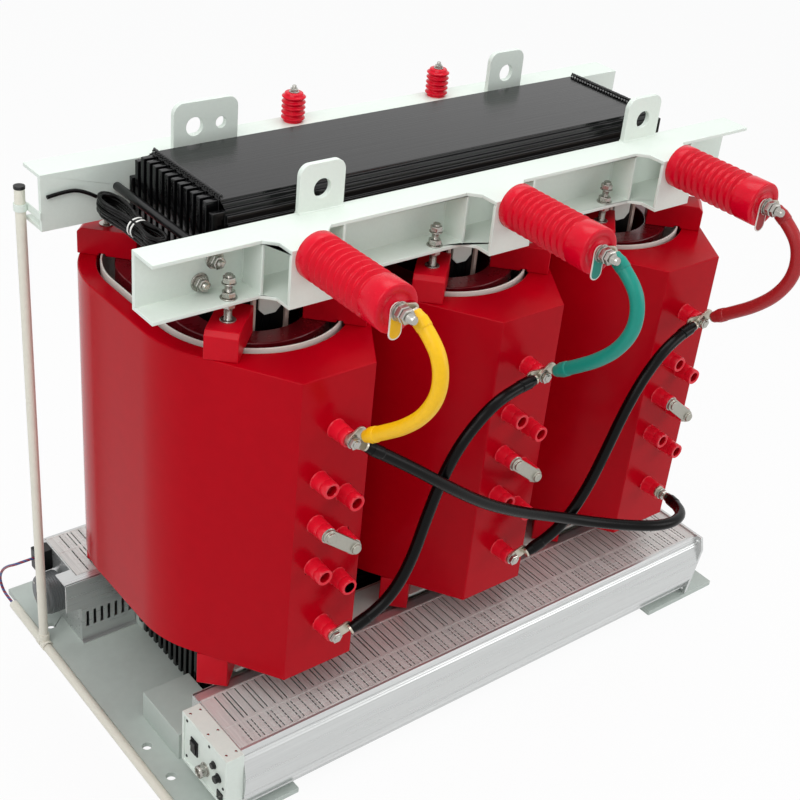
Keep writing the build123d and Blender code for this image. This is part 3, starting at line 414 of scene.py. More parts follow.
block_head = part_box("support_blocks_a")[1][2]
rod_circle = 0.245 + 0.002 - 0.055
rod_out = rod_circle * math.sqrt(0.5)
straight_half = 0.105
rod_radius = 0.008
rod_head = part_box("block_bolts")[1][2]
rod_stack = ((washer, block_head, 0.016, 0.003),
             (nut, clamp_foot - 0.012, 0.0142, 0.012, rod_radius),
             (washer, clamp_foot + 0.008, 0.017, 0.0025),
             (nut, clamp_foot + 0.0105, 0.0142, 0.0115, rod_radius),
             (washer, clamp_foot + 0.0385, 0.0145, 0.002),
             (nut, clamp_foot + 0.0405, 0.0135, 0.0115, rod_radius))
mesh = bmesh.new()
for x in phase_x:
    for side in (-1, 1):
        for face in (-1, 1):
            rod_x, rod_y = x + side * rod_out, face * (straight_half + rod_out)
            thread(mesh, aim((rod_x, rod_y, block_head - 0.004), (0, 0, 1)), rod_radius,
                   rod_head - block_head + 0.004)
            for shape, height, *sizes in rod_stack:
                shape(mesh, aim((rod_x, rod_y, height), (0, 0, 1)), *sizes)
piece("block_rods", mesh, plated, ["block_bolts"])

# ---------------------------------------------------------------- tie rods
# Threaded rods draw front and rear clamps together past the yoke ends. Each runs in a
# black insulating tube and has a washer and two nuts outside each clamp.
tube_black = finish("tube_black", shade(16, 16, 17), 0.35, coat=0.1, grain=80.0, relief=0.06)
bolts = bmesh.new()
tubes = bmesh.new()
tie_places = ((0.640, 1.205), (0.672, 1.165))
for rod_x, rod_z in tie_places:
    for end in (-1, 1):
        for face in (-1, 1):
            out = (0, face, 0)
            thread(bolts, aim((end * rod_x, face * 0.176, rod_z), out), 0.007, 0.047)
            washer(bolts, aim((end * rod_x, face * web_face, rod_z), out), 0.019, 0.003)
            nut(bolts, aim((end * rod_x, face * 0.198, rod_z), out), 0.0155, 0.011, 0.007)
            nut(bolts, aim((end * rod_x, face * 0.2095, rod_z), out), 0.0135, 0.007, 0.007)
        lathe(tubes, [(0.0, 0.0), (0.0088, 0.0), (0.009, 0.0005), (0.009, 0.3695),
                      (0.0088, 0.37), (0.0, 0.37)], aim((end * rod_x, -0.185, rod_z), (0, 1, 0)))
piece("tie_bolts", bolts, plated, ["tie_rods"])
piece("tie_tubes", tubes, tube_black)

# ---------------------------------------------------------------- bushings
# Ribbed bushings of bright red epoxy are screwed to the clamp's seats and carry the
# incoming studs. The front face is flat with a shallow ring round the stud.
bushing_red = finish("bushing_red", shade(214, 2, 36), 0.26, coat=0.03, grain=60.0,
                     relief=0.02, shine=0.2)
seat = -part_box("hv_bushings")[1][1]
tip = -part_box("hv_bushings")[0][1]
bushing_z = (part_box("hv_bushings")[0][2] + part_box("hv_bushings")[1][2]) / 2
bushing_radius = (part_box("hv_bushings")[1][2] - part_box("hv_bushings")[0][2]) / 2
bushing_length = tip - seat
collar = 0.028
cap = 0.046
rib_count = 9
rib_pitch = (bushing_length - collar - cap) / rib_count
valley = bushing_radius - 0.0092
profile = [(0.0, 0.0), (bushing_radius - 0.002, 0.0), (bushing_radius, 0.002),
           (bushing_radius, collar - 0.0015), (bushing_radius - 0.001, collar)]
for rib in range(rib_count):
    base = collar + rib * rib_pitch
    profile += [(valley + 0.001, base + 0.0016), (valley, base + 0.004),
                (valley, base + rib_pitch - 0.0062), (valley + 0.0012, base + rib_pitch - 0.0042),
                (bushing_radius - 0.0004, base + rib_pitch - 0.003)]
    if rib < rib_count - 1:
        profile += [(bushing_radius, base + rib_pitch - 0.002),
                    (bushing_radius, base + rib_pitch - 0.001),
                    (bushing_radius - 0.0004, base + rib_pitch)]
profile += [(bushing_radius, bushing_length - cap - 0.002),
            (bushing_radius, bushing_length - 0.003),
            (bushing_radius - 0.0009, bushing_length - 0.0009),
            (bushing_radius - 0.003, bushing_length), (0.033, bushing_length),
            (0.0318, bushing_length - 0.001), (0.0225, bushing_length - 0.001),
            (0.0213, bushing_length), (0.0, bushing_length)]
mesh = bmesh.new()
for x in phase_x:
    lathe(mesh, profile, aim((x, -seat, bushing_z), (0, -1, 0)), 72)
piece("bushing_bodies", mesh, bushing_red, ["hv_bushings"], crease=60.0)

# A threaded stud leaves each bushing, with a washer, a spring washer and two nuts that
# hold the lug of the phase lead.
stud_end = -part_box("bushing_studs")[0][1]
mesh = bmesh.new()
for x in phase_x:
    out = (0, -1, 0)
    thread(mesh, aim((x, -tip, bushing_z), out), 0.009, stud_end - tip, 0.0025)
    washer(mesh, aim((x, -tip - 0.007, bushing_z), out), 0.019, 0.0025)
    washer(mesh, aim((x, -tip - 0.0095, bushing_z), out), 0.0145, 0.003)
    nut(mesh, aim((x, -tip - 0.0125, bushing_z), out), 0.0168, 0.0125, 0.009)
    nut(mesh, aim((x, -tip - 0.0265, bushing_z), out), 0.0158, 0.009, 0.009)
piece("bushing_hardware", mesh, plated, ["bushing_studs"])

# ---------------------------------------------------------------- winding terminals
# Nickel-plated bolts clamp the cable lugs to the end terminals, and a thick flat link
# bridges two taps of each winding.
mesh = bmesh.new()
for x in phase_x:
    for (tap_x, tap_z), stack in zip(end_terminals, (0.010, 0.005)):
        out = (0, -1, 0)
        seat_y = -boss_tip - stack
        washer(mesh, aim((x + tap_x, seat_y, tap_z), out), 0.0145, 0.003)
        nut(mesh, aim((x + tap_x, seat_y - 0.003, tap_z), out), 0.0132, 0.0085, 0.007)
        lathe(mesh, [(0.0, 0.0), (0.0078, 0.0), (0.0078, 0.0125), (0.0066, 0.0138),
                     (0.0, 0.0142)], aim((x + tap_x, seat_y, tap_z), out), 28)
piece("terminal_bolts", mesh, plated, ["terminal_nuts"])
nickel = finish("nickel_link", shade(168, 166, 156), 0.36, metal=0.95, grain=180.0, relief=0.2,
                tone=0.16, spread=0.1)
dress("tap_links", nickel, 0.0018, 3)
mesh = bmesh.new()
for x in phase_x:
    for tap_x, tap_z in (left_taps[1], right_taps[1]):
        nut(mesh, aim((x + tap_x, -boss_tip - 0.008, tap_z), (0, -1, 0)), 0.0112, 0.0058, 0.0)
        washer(mesh, aim((x + tap_x, -boss_tip, tap_z), (0, -1, 0)), 0.0172, 0.002)
piece("link_bolts", mesh, plated)
tinned = finish("tinned_copper", shade(186, 180, 166), 0.34, metal=1.0, grain=90.0, relief=0.1,
                tone=0.12, spread=0.08)
dress("cable_lugs", tinned, 0.0007)
dress("lv_terminal_bars", tinned, 0.001)

# ---------------------------------------------------------------- phase leads and cables
# Silicone-covered leads in the three phase colours run from the bushings to the windings.
# Black cables join the windings in delta. Both are stiff enough to keep the bends they get.
lead_route = [(34, -592, 1222), (40, -633, 1193), (43, -656, 1149), (42, -656, 1094),
              (36, -630, 1040), (29, -588, 996), (24, -546, 964), (20, -510, 938)]
cable_routes = {
    "cable_a_c": [(-458, -486, 886), (-384, -504, 836), (-288, -524, 762), (-172, -525, 674),
                  (-48, -519, 600), (85, -518, 536), (180, -541, 500), (262, -575, 481),
                  (328, -604, 472), (384, -612, 466), (432, -596, 458), (464, -562, 449),
                  (483, -520, 438)],
    "cable_b_a": [(-451, -486, 440), (-402, -492, 464), (-358, -497, 514), (-328, -500, 584),
                  (-303, -497, 664), (-275, -496, 746), (-238, -497, 822), (-184, -499, 882),
                  (-118, -494, 912), (-51, -487, 915)],
    "cable_c_b": [(49, -486, 440), (100, -492, 462), (150, -497, 510), (190, -500, 578),
                  (222, -502, 660), (253, -503, 744), (296, -501, 820), (352, -497, 876),
                  (412, -491, 904), (449, -487, 911)],
}


def cord(name, route, radius, surface):
    """A cord along the route, given in millimetres."""
    points = [[value / 1000 for value in point] for point in route]
    line = bpy.data.curves.new(name, "CURVE")
    line.dimensions = "3D"
    line.bevel_depth = radius
    line.bevel_resolution = 6
    line.resolution_u = 10
    line.use_fill_caps = True
    spline = line.splines.new("NURBS")
    spline.points.add(len(points) - 1)
    for spot, point in zip(spline.points, points):
        spot.co = point + [1.0]
    spline.order_u = 3
    spline.use_endpoint_u = True
    line.materials.append(surface)
    made = bpy.data.objects.new(name + "_cord", line)
    bpy.context.scene.collection.objects.link(made)
    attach(made, "transformer")
    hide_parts(name)
    return made


silicone = {}
for name, colour, tone in (("yellow", shade(244, 190, 8), 0.08),
                           ("green", shade(10, 140, 124), 0.08), ("red", shade(166, 30, 34), 0.1)):
    silicone[name] = finish("silicone_" + name, colour, 0.42, coat=0.05, grain=110.0, relief=0.08,
                            tone=tone)
cable_black = finish("cable_black", shade(5, 4, 4), 0.27, grain=130.0, relief=0.08,
                     tone=0.2, shine=0.13)
lead_radius = 0.015
cable_radius = 0.013
lead_dress = [(letter, silicone[name], "lead_" + name)
              for letter, name in (("a", "yellow"), ("b", "green"), ("c", "red"))]
lead_routes = [[(x * 1000 + point[0], point[1], point[2]) for point in lead_route]
               for x in phase_x]
for route, (letter, surface, slot) in zip(lead_routes, lead_dress):
    cord("phase_lead_" + letter, route, lead_radius, surface)
for name, route in cable_routes.items():
    cord(name, route, cable_radius, cable_black)


# Heat-shrink sleeves close each cord over the barrel of its lug.
def sleeve(mesh, start, follow, radius, back, length):
    """A shrunk sleeve that begins behind the cord's end and fades onto the cord."""
    start, follow = Vector(start) / 1000, Vector(follow) / 1000
    heading = (follow - start).normalized()
    lathe(mesh, [(radius * 0.80, 0.0), (radius * 0.86, 0.001), (radius * 0.9, 0.006),
                 (radius * 1.04, 0.016), (radius * 1.08, back), (radius * 1.07, length - 0.004),
                 (radius * 1.03, length - 0.0005), (radius * 0.98, length)],
          aim(start - heading * back, heading), 36)


for route, (letter, surface, slot) in zip(lead_routes, lead_dress):
    mesh = bmesh.new()
    sleeve(mesh, route[0], route[1], lead_radius, 0.016, 0.036)
    sleeve(mesh, route[-1], route[-2], lead_radius, 0.018, 0.036)
    piece("lead_sleeves_" + letter, mesh, surface, crease=60.0)
mesh = bmesh.new()
for name, route in cable_routes.items():
    for end, follow in ((route[0], route[1]), (route[-1], route[-2])):
        sleeve(mesh, end, follow, cable_radius, 0.016, 0.045)
piece("cable_sleeves", mesh, cable_black, crease=60.0)

# ---------------------------------------------------------------- phase tags
# Enamelled oblong tags in the phase colours hang behind the lugs of the bushings, with a
# pale raised rim.
enamel = finish("tag_enamel", shade(232, 230, 222), 0.3, coat=0.3, grain=90.0, relief=0.03)


def oblong(half_width, half_straight, count=14):
    """An upright oblong outline about its centre."""
    outline = []
    for end in (1, -1):
        for step in range(count + 1):
            angle = math.pi * step / count
            outline.append((end * half_width * math.cos(angle),
                            end * (half_straight + half_width * math.sin(angle))))
    return outline


tag_low, tag_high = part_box("phase_tags")
tag_z = (tag_low[2] + tag_high[2]) / 2
tag_radius = 0.015
field_radius = 0.0122
tag_half = (tag_high[2] - tag_low[2]) / 2 - tag_radius
facing = Matrix(((1, 0, 0, 0), (0, 0, -1, 0), (0, 1, 0, 0), (0, 0, 0, 1)))
rims = bmesh.new()
for x, (letter, surface, slot) in zip(phase_x, lead_dress):
    back_face = Matrix.Translation((x, tag_high[1], tag_z)) @ facing
    slab(rims, oblong(tag_radius, tag_half), back_face, 0.002)
    mesh = bmesh.new()
    front_face = Matrix.Translation((x, tag_low[1] + 0.0003, tag_z)) @ facing
    slab(mesh, oblong(field_radius, tag_half), front_face, 0.0006)
    round_edges(piece("tag_field_" + letter, mesh, surface), 0.0002)
round_edges(piece("tag_rims", rims, enamel, ["phase_tags"]), 0.0005)

# ---------------------------------------------------------------- post insulators
# Two ribbed posts of red epoxy stand on the rear clamp for the low-voltage bars' stays,
# each with a plated bolt in its head.
post_low, post_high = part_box("post_insulators")
post_y = (post_low[1] + post_high[1]) / 2
post_height = post_high[2] - post_low[2]
profile = [(0.0, 0.0), (0.0215, 0.0), (0.0215, 0.003)]
for shed in range(5):
    base = 0.003 + shed * (post_height - 0.006) / 5
    profile += [(0.0213, base + 0.001), (0.0226, base + 0.0026), (0.0262, base + 0.0044),
                (0.027, base + 0.0058), (0.0262, base + 0.0072), (0.0226, base + 0.009),
                (0.0213, base + 0.0105)]
profile += [(0.0205, post_height - 0.001), (0.0195, post_height), (0.0, post_height)]
posts = bmesh.new()
caps = bmesh.new()
for post_x in (post_low[0] + 0.027, post_high[0] - 0.027):
    lathe(posts, profile, aim((post_x, post_y, post_low[2]), (0, 0, 1)), 56)
    head = aim((post_x, post_y, post_high[2]), (0, 0, 1))
    washer(caps, head, 0.0115, 0.0025)
    nut(caps, head @ Matrix.Translation((0, 0, 0.0025)), 0.0092, 0.0065, 0.005)
    thread(caps, head, 0.005, 0.0158, 0.0015)
piece("post_bodies", posts, bushing_red, ["post_insulators"], crease=60.0)
piece("post_hardware", caps, plated, ["post_bolts"])

# ---------------------------------------------------------------- base
# Two thick plates with anchor holes carry the foot beams under the clamps, all in the
# clamps' paint, painted darker than on the clamps for the dust and scuffs of a workshop floor and
# for painted shade.
# A darker copy of the clamp paint: partly dust, partly painted shade low under the transformer.
base_grey_dust_and_painted_shade = finish("base_grey_dust_and_painted_shade", shade(190, 199, 192), 0.45, coat=0.08, grain=55.0, relief=0.08,
                   tone=0.06, cloud=5.0)
for node in ("base_plate_near", "base_plate_far", "foot_beam_front", "foot_beam_rear"):
    dress(node, base_grey_dust_and_painted_shade, 0.0018)

# ---------------------------------------------------------------- conduit
# A cream plastic conduit rises beside the near end for the wiring of the fans and sensors.
# It has moulded couplings at its tee, a black cap and a steel clip to the rear clamp.
conduit_cream = finish("conduit_cream", shade(232, 229, 214), 0.36, coat=0.1, grain=45.0,
                       relief=0.03, tone=0.04)
for node in ("conduit_pipes", "conduit_tee"):
    dress(node, conduit_cream)
dress("conduit_clip", clamp_grey, 0.0008)
cap_black = finish("cap_black", shade(26, 26, 27), 0.45, grain=120.0, relief=0.1)
dress("conduit_cap", cap_black, 0.001)
pipe_x = (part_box("conduit_tee")[0][0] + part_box("conduit_tee")[1][0]) / 2
mesh = bmesh.new()
coupling = [(0.0108, 0.0), (0.0131, 0.0006), (0.0136, 0.002), (0.0136, 0.016),
            (0.0131, 0.0176), (0.0108, 0.018)]
for y, z, run in ((0.248, 0.024, (0, 0, 1)), (0.2455, 0.0138, (0, -1, 0)),
                  (0.2505, 0.0138, (0, 1, 0))):
    lathe(mesh, coupling, aim((pipe_x, y, z), run), 40)
piece("conduit_couplings", mesh, conduit_cream, crease=50.0)

# ---------------------------------------------------------------- cross-flow fans
# Each fan is a long impeller in a trough of satin aluminium sheet, with a bulged outer
# cover that is rolled with long ridges and an inner wall punched with air slots.
satin = finish("satin_aluminium", shade(206, 208, 207), 0.3, metal=0.75, coat=0.1, grain=12.0,
               relief=0.05, tone=0.06, spread=0.05, stretch=(0.6, 30.0, 30.0))
fan_low, fan_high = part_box("front_fan_trough")
fan_foot, fan_top = fan_low[2], fan_high[2]
cover_top = (0.468, fan_top)
cover_foot = (0.450, fan_foot)
cover_middle = (0.490, (fan_top + fan_foot) / 2)


def circle_through(a, b, c):
    """Centre and radius of the circle through three points."""
    (ax, ay), (bx, by), (cx, cy) = a, b, c
    twist = 2 * (ax * (by - cy) + bx * (cy - ay) + cx * (ay - by))
    ux = ((ax * ax + ay * ay) * (by - cy) + (bx * bx + by * by) * (cy - ay)
          + (cx * cx + cy * cy) * (ay - by)) / twist
    uy = ((ax * ax + ay * ay) * (cx - bx) + (bx * bx + by * by) * (ax - cx)
          + (cx * cx + cy * cy) * (bx - ax)) / twist
    return (ux, uy), math.hypot(ax - ux, ay - uy)


(centre_y, centre_z), bulge = circle_through(cover_top, cover_middle, cover_foot)
start_turn = math.atan2(cover_top[1] - centre_z, cover_top[0] - centre_y)
end_turn = math.atan2(cover_foot[1] - centre_z, cover_foot[0] - centre_y)


cover_ridges = ((0.075, -0.0022, 0.010), (0.125, 0.0012, 0.012), (0.64, 0.0042, 0.016),
                (0.70, -0.0012, 0.012), (0.90, 0.0034, 0.012), (0.955, -0.0016, 0.010))


def cover_point(share, inset):
    """A point of the rolled cover, from its top edge down to its foot."""
    lift = 0.0
    for middle, height, width in cover_ridges:
        lift += height * math.exp(-((share - middle) / width) ** 2)
    turn = start_turn + (end_turn - start_turn) * share
    radius = bulge + lift - inset
    return (centre_y + radius * math.cos(turn), centre_z + radius * math.sin(turn))


sheet = 0.003
inner_wall = 0.272
slot_foot, slot_head = 0.058, 0.104
lid_foot = 0.122
fan_shift = {"front_fan": 0.0, "rear_fan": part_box("rear_fan_trough")[0][1] - inner_wall}
for name, side in (("front_fan", -1), ("rear_fan", 1)):
    shift = fan_shift[name]
    fan_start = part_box(name + "_grille")[0][0] - sheet
    fan_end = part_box(name + "_grille")[1][0]

    def wall_block(mesh, x_low, x_high, y_low, y_high, z_low, z_high):
        """A block of sheet given by its distances from the core's middle plane."""
        near_y, far_y = sorted((side * y_low + shift, side * y_high + shift))
        block(mesh, (x_low, near_y, z_low), (x_high, far_y, z_high))

    mesh = bmesh.new()
    outer = [(0.462, fan_top)] + [cover_point(step / 160, 0.0) for step in range(161)]
    inner = [(0.462, fan_top - sheet)] + [cover_point(step / 160, sheet) for step in range(161)]
    outer += [(inner_wall + sheet, fan_foot)]
    inner += [(inner_wall + sheet, fan_foot + sheet)]
    ends = [[[mesh.verts.new((x, side * y + shift, z)) for y, z in line]
             for line in (outer, inner)] for x in (fan_start, fan_end)]
    for index in range(len(outer) - 1):
        for line in (0, 1):
            mesh.faces.new((ends[0][line][index], ends[0][line][index + 1],
                            ends[1][line][index + 1], ends[1][line][index]))
        for end in ends:
            mesh.faces.new((end[0][index], end[0][index + 1], end[1][index + 1], end[1][index]))
    for index in (0, len(outer) - 1):
        mesh.faces.new((ends[0][0][index], ends[1][0][index], ends[1][1][index],
                        ends[0][1][index]))
    # inner wall with its row of air slots, under a folded lid
    wall_block(mesh, fan_start, fan_end, inner_wall, inner_wall + sheet, fan_foot, slot_foot)
    wall_block(mesh, fan_start, fan_end, inner_wall, inner_wall + sheet, slot_head, fan_top)
    slots = 74
    pitch = (fan_end - fan_start - 0.012) / slots
    for index in range(slots + 1):
        middle = fan_start + 0.006 + index * pitch
        wall_block(mesh, middle - 0.005, middle + 0.005, inner_wall, inner_wall + sheet,
                   slot_foot, slot_head)
        if index < slots:
            wall_block(mesh, middle + 0.006, middle + 0.0085, inner_wall + 0.004,
                       inner_wall + 0.014, slot_foot + 0.001, slot_head - 0.001)
    lid_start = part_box(name + "_trough")[0][0]
    wall_block(mesh, lid_start, fan_end, inner_wall - 0.002, inner_wall, lid_foot, fan_top)
    wall_block(mesh, lid_start, fan_end, inner_wall, 0.296, fan_top - sheet, fan_top)
    wall_block(mesh, fan_start, fan_end, inner_wall - 0.009, inner_wall, fan_foot,
               fan_foot + 0.003)
    if side > 0:
        wall_block(mesh, lid_start, fan_start, 0.296, 0.324, fan_top - sheet, fan_top)
        wall_block(mesh, lid_start, fan_start, inner_wall, inner_wall + sheet, lid_foot, fan_top)
    piece(name + "_cover", mesh, satin, [name + "_trough"], crease=40.0)
    mesh = bmesh.new()
    wall = [(side * 0.275 + shift, fan_foot + sheet), (side * 0.275 + shift, fan_top - sheet)]
    wall += [(side * cover_point(step / 20, sheet)[0] + shift, cover_point(step / 20, sheet)[1])
             for step in range(21)]
    upright = Matrix(((0, 0, 1, fan_start), (1, 0, 0, 0), (0, 1, 0, 0), (0, 0, 0, 1)))
    slab(mesh, wall, upright, sheet)
    piece(name + "_bulkhead", mesh, satin)

# Punched grilles close the tops, with long slats in one row and square cells in the other.
grille_metal = finish("grille_metal", shade(214, 214, 210), 0.42, metal=0.25, grain=14.0,
                      relief=0.12, tone=0.16, stretch=(30.0, 0.8, 1.0), spread=0.08)
slat_pitch = 0.0102
slat_width = 0.0074
for name, side, rows in (("front_fan", -1, (0.412, 0.423, 0.434, 0.445)),
                         ("rear_fan", 1, (0.319, 0.336, 0.353, 0.370, 0.412, 0.423, 0.434,
                                          0.445))):
    dress(name + "_grille", grille_metal, 0.0005)
    low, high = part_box(name + "_grille")
    shift = fan_shift[name]
    mesh = bmesh.new()
    for step in range(int((high[0] - low[0] - 0.024) / slat_pitch)):
        slat_x = low[0] + 0.014 + step * slat_pitch
        slat_low, slat_high = sorted((side * 0.3005 + shift, side * 0.4575 + shift))
        block(mesh, (slat_x, slat_low, high[2] - 0.0018),
              (slat_x + slat_width, slat_high, high[2] + 0.0003))
    for y in rows:
        near_y, far_y = sorted((side * (y - 0.0009) + shift, side * (y + 0.0009) + shift))
        block(mesh, (low[0] + 0.02, near_y, high[2] - 0.002),
              (high[0] - 0.02, far_y, high[2] + 0.0006))
    for y in (0.2985, 0.395, 0.4595):
        near_y, far_y = sorted((side * (y - 0.0022) + shift, side * (y + 0.0022) + shift))
        block(mesh, (low[0] + 0.004, near_y, high[2] - 0.001),
              (high[0] - 0.004, far_y, high[2] + 0.0008))
    round_edges(piece(name + "_wires", mesh, grille_metal), 0.0003, 1)
impeller_metal = finish("impeller_metal", shade(120, 118, 116), 0.42, metal=0.9, grain=20.0,
                        relief=0.1, tone=0.15, stretch=(1.0, 20.0, 20.0))
for name in ("front_fan", "rear_fan"):
    dress(name + "_impeller", impeller_metal)
    dress(name + "_end_plate", satin, 0.001)

# ---------------------------------------------------------------- front fan's motor end
# A painted sheet box with a recessed panel: a rocker switch, a round screwed connector,
# two knobs, a small socket and the screws that hold the panel.
dress("front_fan_motor_box", clamp_grey, 0.0012)
box_low, box_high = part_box("front_fan_motor_box")
panel_x = box_low[0] + 0.004
out = (-1, 0, 0)
moulding = finish("moulding_black", shade(14, 14, 15), 0.4, coat=0.05, grain=150.0,
                  relief=0.12)
mesh = bmesh.new()
block(mesh, (panel_x - 0.003, -0.364, 0.116), (panel_x, -0.336, 0.156))
block(mesh, (panel_x - 0.0075, -0.3595, 0.1385), (panel_x - 0.0025, -0.3405, 0.1525))
block(mesh, (panel_x - 0.0055, -0.3595, 0.1195), (panel_x - 0.0025, -0.3405, 0.1385))
knobs = ((-0.428, 0.150, 0.0075, 0.008), (-0.447, 0.128, 0.009, 0.012))
for knob_y, knob_z, radius, reach in knobs:
    lathe(mesh, [(0.0, 0.0), (radius * 1.25, 0.0), (radius * 1.25, 0.002), (radius, 0.0026),
                 (radius, reach - 0.001), (radius - 0.001, reach), (0.0, reach)],
          aim((panel_x, knob_y, knob_z), out), 28)
block(mesh, (panel_x - 0.0025, -0.466, 0.070), (panel_x, -0.444, 0.094))
for screw_y, screw_z in ((-0.318, 0.186), (-0.318, 0.082), (-0.408, 0.186), (-0.466, 0.112)):
    lathe(mesh, [(0.0, 0.0), (0.0035, 0.0), (0.0035, 0.0014), (0.0028, 0.002), (0.0, 0.0021)],
          aim((panel_x, screw_y, screw_z), out), 18)
round_edges(piece("panel_controls", mesh, moulding, ["front_fan_fittings"]),
            0.0005)
mesh = bmesh.new()
lathe(mesh, [(0.0, 0.0), (0.0165, 0.0), (0.0165, 0.0025), (0.0135, 0.003), (0.0135, 0.006),
             (0.0143, 0.0066), (0.0143, 0.0085), (0.0135, 0.009), (0.0135, 0.0115),
             (0.0143, 0.012), (0.0143, 0.018), (0.0136, 0.0192), (0.0108, 0.0195),
             (0.0104, 0.0186), (0.0104, 0.013), (0.0, 0.013)],
      aim((panel_x, -0.395, 0.108), out), 40)
for screw_x in (box_low[0] + 0.010, box_high[0] - 0.010):
    for screw_y in (-0.320, -0.392, -0.464):
        lathe(mesh, [(0.0, 0.0), (0.0032, 0.0), (0.0032, 0.0006), (0.0024, 0.0012),
                     (0.0, 0.0013)], aim((screw_x, screw_y, fan_top), (0, 0, 1)), 16)
socket_pins = [(0.0, 0.0), (0.0014, 0.0), (0.0014, 0.004), (0.0, 0.0043)]
for pin_y, pin_z in ((-0.450, 0.086), (-0.460, 0.086), (-0.455, 0.077)):
    lathe(mesh, socket_pins, aim((panel_x - 0.002, pin_y, pin_z), out), 12)
piece("panel_hardware", mesh, plated)

# ---------------------------------------------------------------- rear fan's motor
# A shaded-pole motor hangs on the rear fan's bulkhead: a ribbed grey case, its end bell
# and screws. A black capacitor sits above it.
motor_grey = finish("motor_grey", shade(104, 107, 108), 0.42, metal=0.3, grain=85.0, relief=0.12,
                    tone=0.1)
motor_low, motor_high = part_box("rear_fan_motor")
motor_axis = ((motor_low[1] + motor_high[1]) / 2, (motor_low[2] + motor_high[2]) / 2)
profile = [(0.0, 0.0), (0.020, 0.0), (0.020, 0.006), (0.046, 0.006), (0.050, 0.009)]
for rib in range(6):
    base = 0.012 + rib * 0.0062
    profile += [(0.050, base), (0.0518, base + 0.0008), (0.0518, base + 0.0030),
                (0.050, base + 0.0038)]
profile += [(0.0495, 0.052), (0.047, 0.056), (0.040, 0.0595), (0.026, 0.0605), (0.024, 0.0625),
            (0.012, 0.0632), (0.0115, 0.0615), (0.0, 0.0612)]
mesh = bmesh.new()
lathe(mesh, profile, aim((motor_high[0], motor_axis[0], motor_axis[1]), out), 64)
piece("rear_motor_case", mesh, motor_grey, ["rear_fan_motor"], crease=50.0)
mesh = bmesh.new()
for step in range(4):
    angle = math.pi / 4 + step * math.pi / 2
    nut(mesh, aim((motor_low[0] + 0.0058, motor_axis[0] + 0.035 * math.cos(angle),
                   motor_axis[1] + 0.035 * math.sin(angle)), out), 0.0042, 0.003, 0.0)
piece("rear_motor_screws", mesh, plated)
dress("rear_fan_capacitor", moulding, 0.002, 3)

# Its supply pair, one wire red and one blue, loops down into the conduit's open end.
pair = bpy.data.materials.new("wire_pair")
pair.use_nodes = True
tree = pair.node_tree
body = tree.nodes["Principled BSDF"]
body.inputs["Roughness"].default_value = 0.4
place = tree.nodes.new("ShaderNodeTexCoord")
stripe = tree.nodes.new("ShaderNodeTexWave")
stripe.bands_direction = "DIAGONAL"
stripe.inputs["Scale"].default_value = 42.0
stripe.inputs["Distortion"].default_value = 0.6
tree.links.new(place.outputs["Object"], stripe.inputs["Vector"])
colours = tree.nodes.new("ShaderNodeValToRGB")
colours.color_ramp.elements[0].position = 0.42
colours.color_ramp.elements[1].position = 0.58
colours.color_ramp.elements[0].color = shade(142, 34, 52)
colours.color_ramp.elements[1].color = shade(58, 84, 138)
tree.links.new(stripe.outputs["Fac"], colours.inputs["Fac"])
tree.links.new(colours.outputs["Color"], body.inputs["Base Color"])
bump = tree.nodes.new("ShaderNodeBump")
bump.inputs["Strength"].default_value = 0.4
bump.inputs["Distance"].default_value = 0.0008
tree.links.new(stripe.outputs["Fac"], bump.inputs["Height"])
tree.links.new(bump.outputs["Normal"], body.inputs["Normal"])
motor_wire_route = [(-785, 370, 176), (-812, 370, 176), (-829, 386, 162), (-833, 418, 138),
                    (-834, 452, 104), (-833, 476, 62), (-829, 470, 26), (-825, 446, 13),
                    (-823.3, 420, 11)]
cord("motor_wire", motor_wire_route, 0.0035, pair)

# ---------------------------------------------------------------- sensor cable
# The temperature sensors' spare cable is coiled into a hank that rests on the tie rods,
# drawn together by white nylon ties; its tail goes out past the rear clamp.
sensor_route = [(-693, 170, 1197), (-716, 177, 1211), (-750, 180.7, 1218), (-796, 180.7, 1211)]
cord("sensor_wire", sensor_route, 0.004, cable_black)
hank_low, hank_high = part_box("sensor_hank")
hank_x = (hank_low[0] + hank_high[0]) / 2
turns = bpy.data.curves.new("hank_turns", "CURVE")
turns.dimensions = "3D"
turns.bevel_depth = 0.0038
turns.bevel_resolution = 3
turns.resolution_u = 6
waist_y = 0.0
for loop in range(13):
    layer = hank_low[2] + 0.0065 + (loop % 5) * 0.0072
    spread = 0.0165 + 0.0095 * random.random()
    north = hank_high[1] - 0.006 - 0.016 * random.random()
    south = hank_low[1] + 0.006 + 0.016 * random.random()
    waist = 0.0045 + 0.011 * (loop // 5 + random.random() * 0.5) / 2.5
    right = [(0.35 * spread, north - 0.003), (spread, north - 0.03), (0.9 * spread, 0.075),
             (waist, waist_y + 0.02), (waist, waist_y - 0.02), (0.85 * spread, -0.06),
             (0.5 * spread, south + 0.006)]
    left = [(-u, v) for u, v in reversed(right)]
    spline = turns.splines.new("NURBS")
    spline.points.add(len(right) + len(left) - 1)
    for spot, (u, v) in zip(spline.points, right + left):
        spot.co = (hank_x + u, v, layer + 0.002 * random.random(), 1.0)
    spline.order_u = 3
    spline.use_cyclic_u = True
turns.materials.append(cable_black)
hank = bpy.data.objects.new("sensor_hank_turns", turns)
bpy.context.scene.collection.objects.link(hank)
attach(hank, "transformer")
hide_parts("sensor_hank")
nylon = finish("white_nylon", shade(236, 235, 230), 0.4, grain=120.0, relief=0.05)
mesh = bmesh.new()
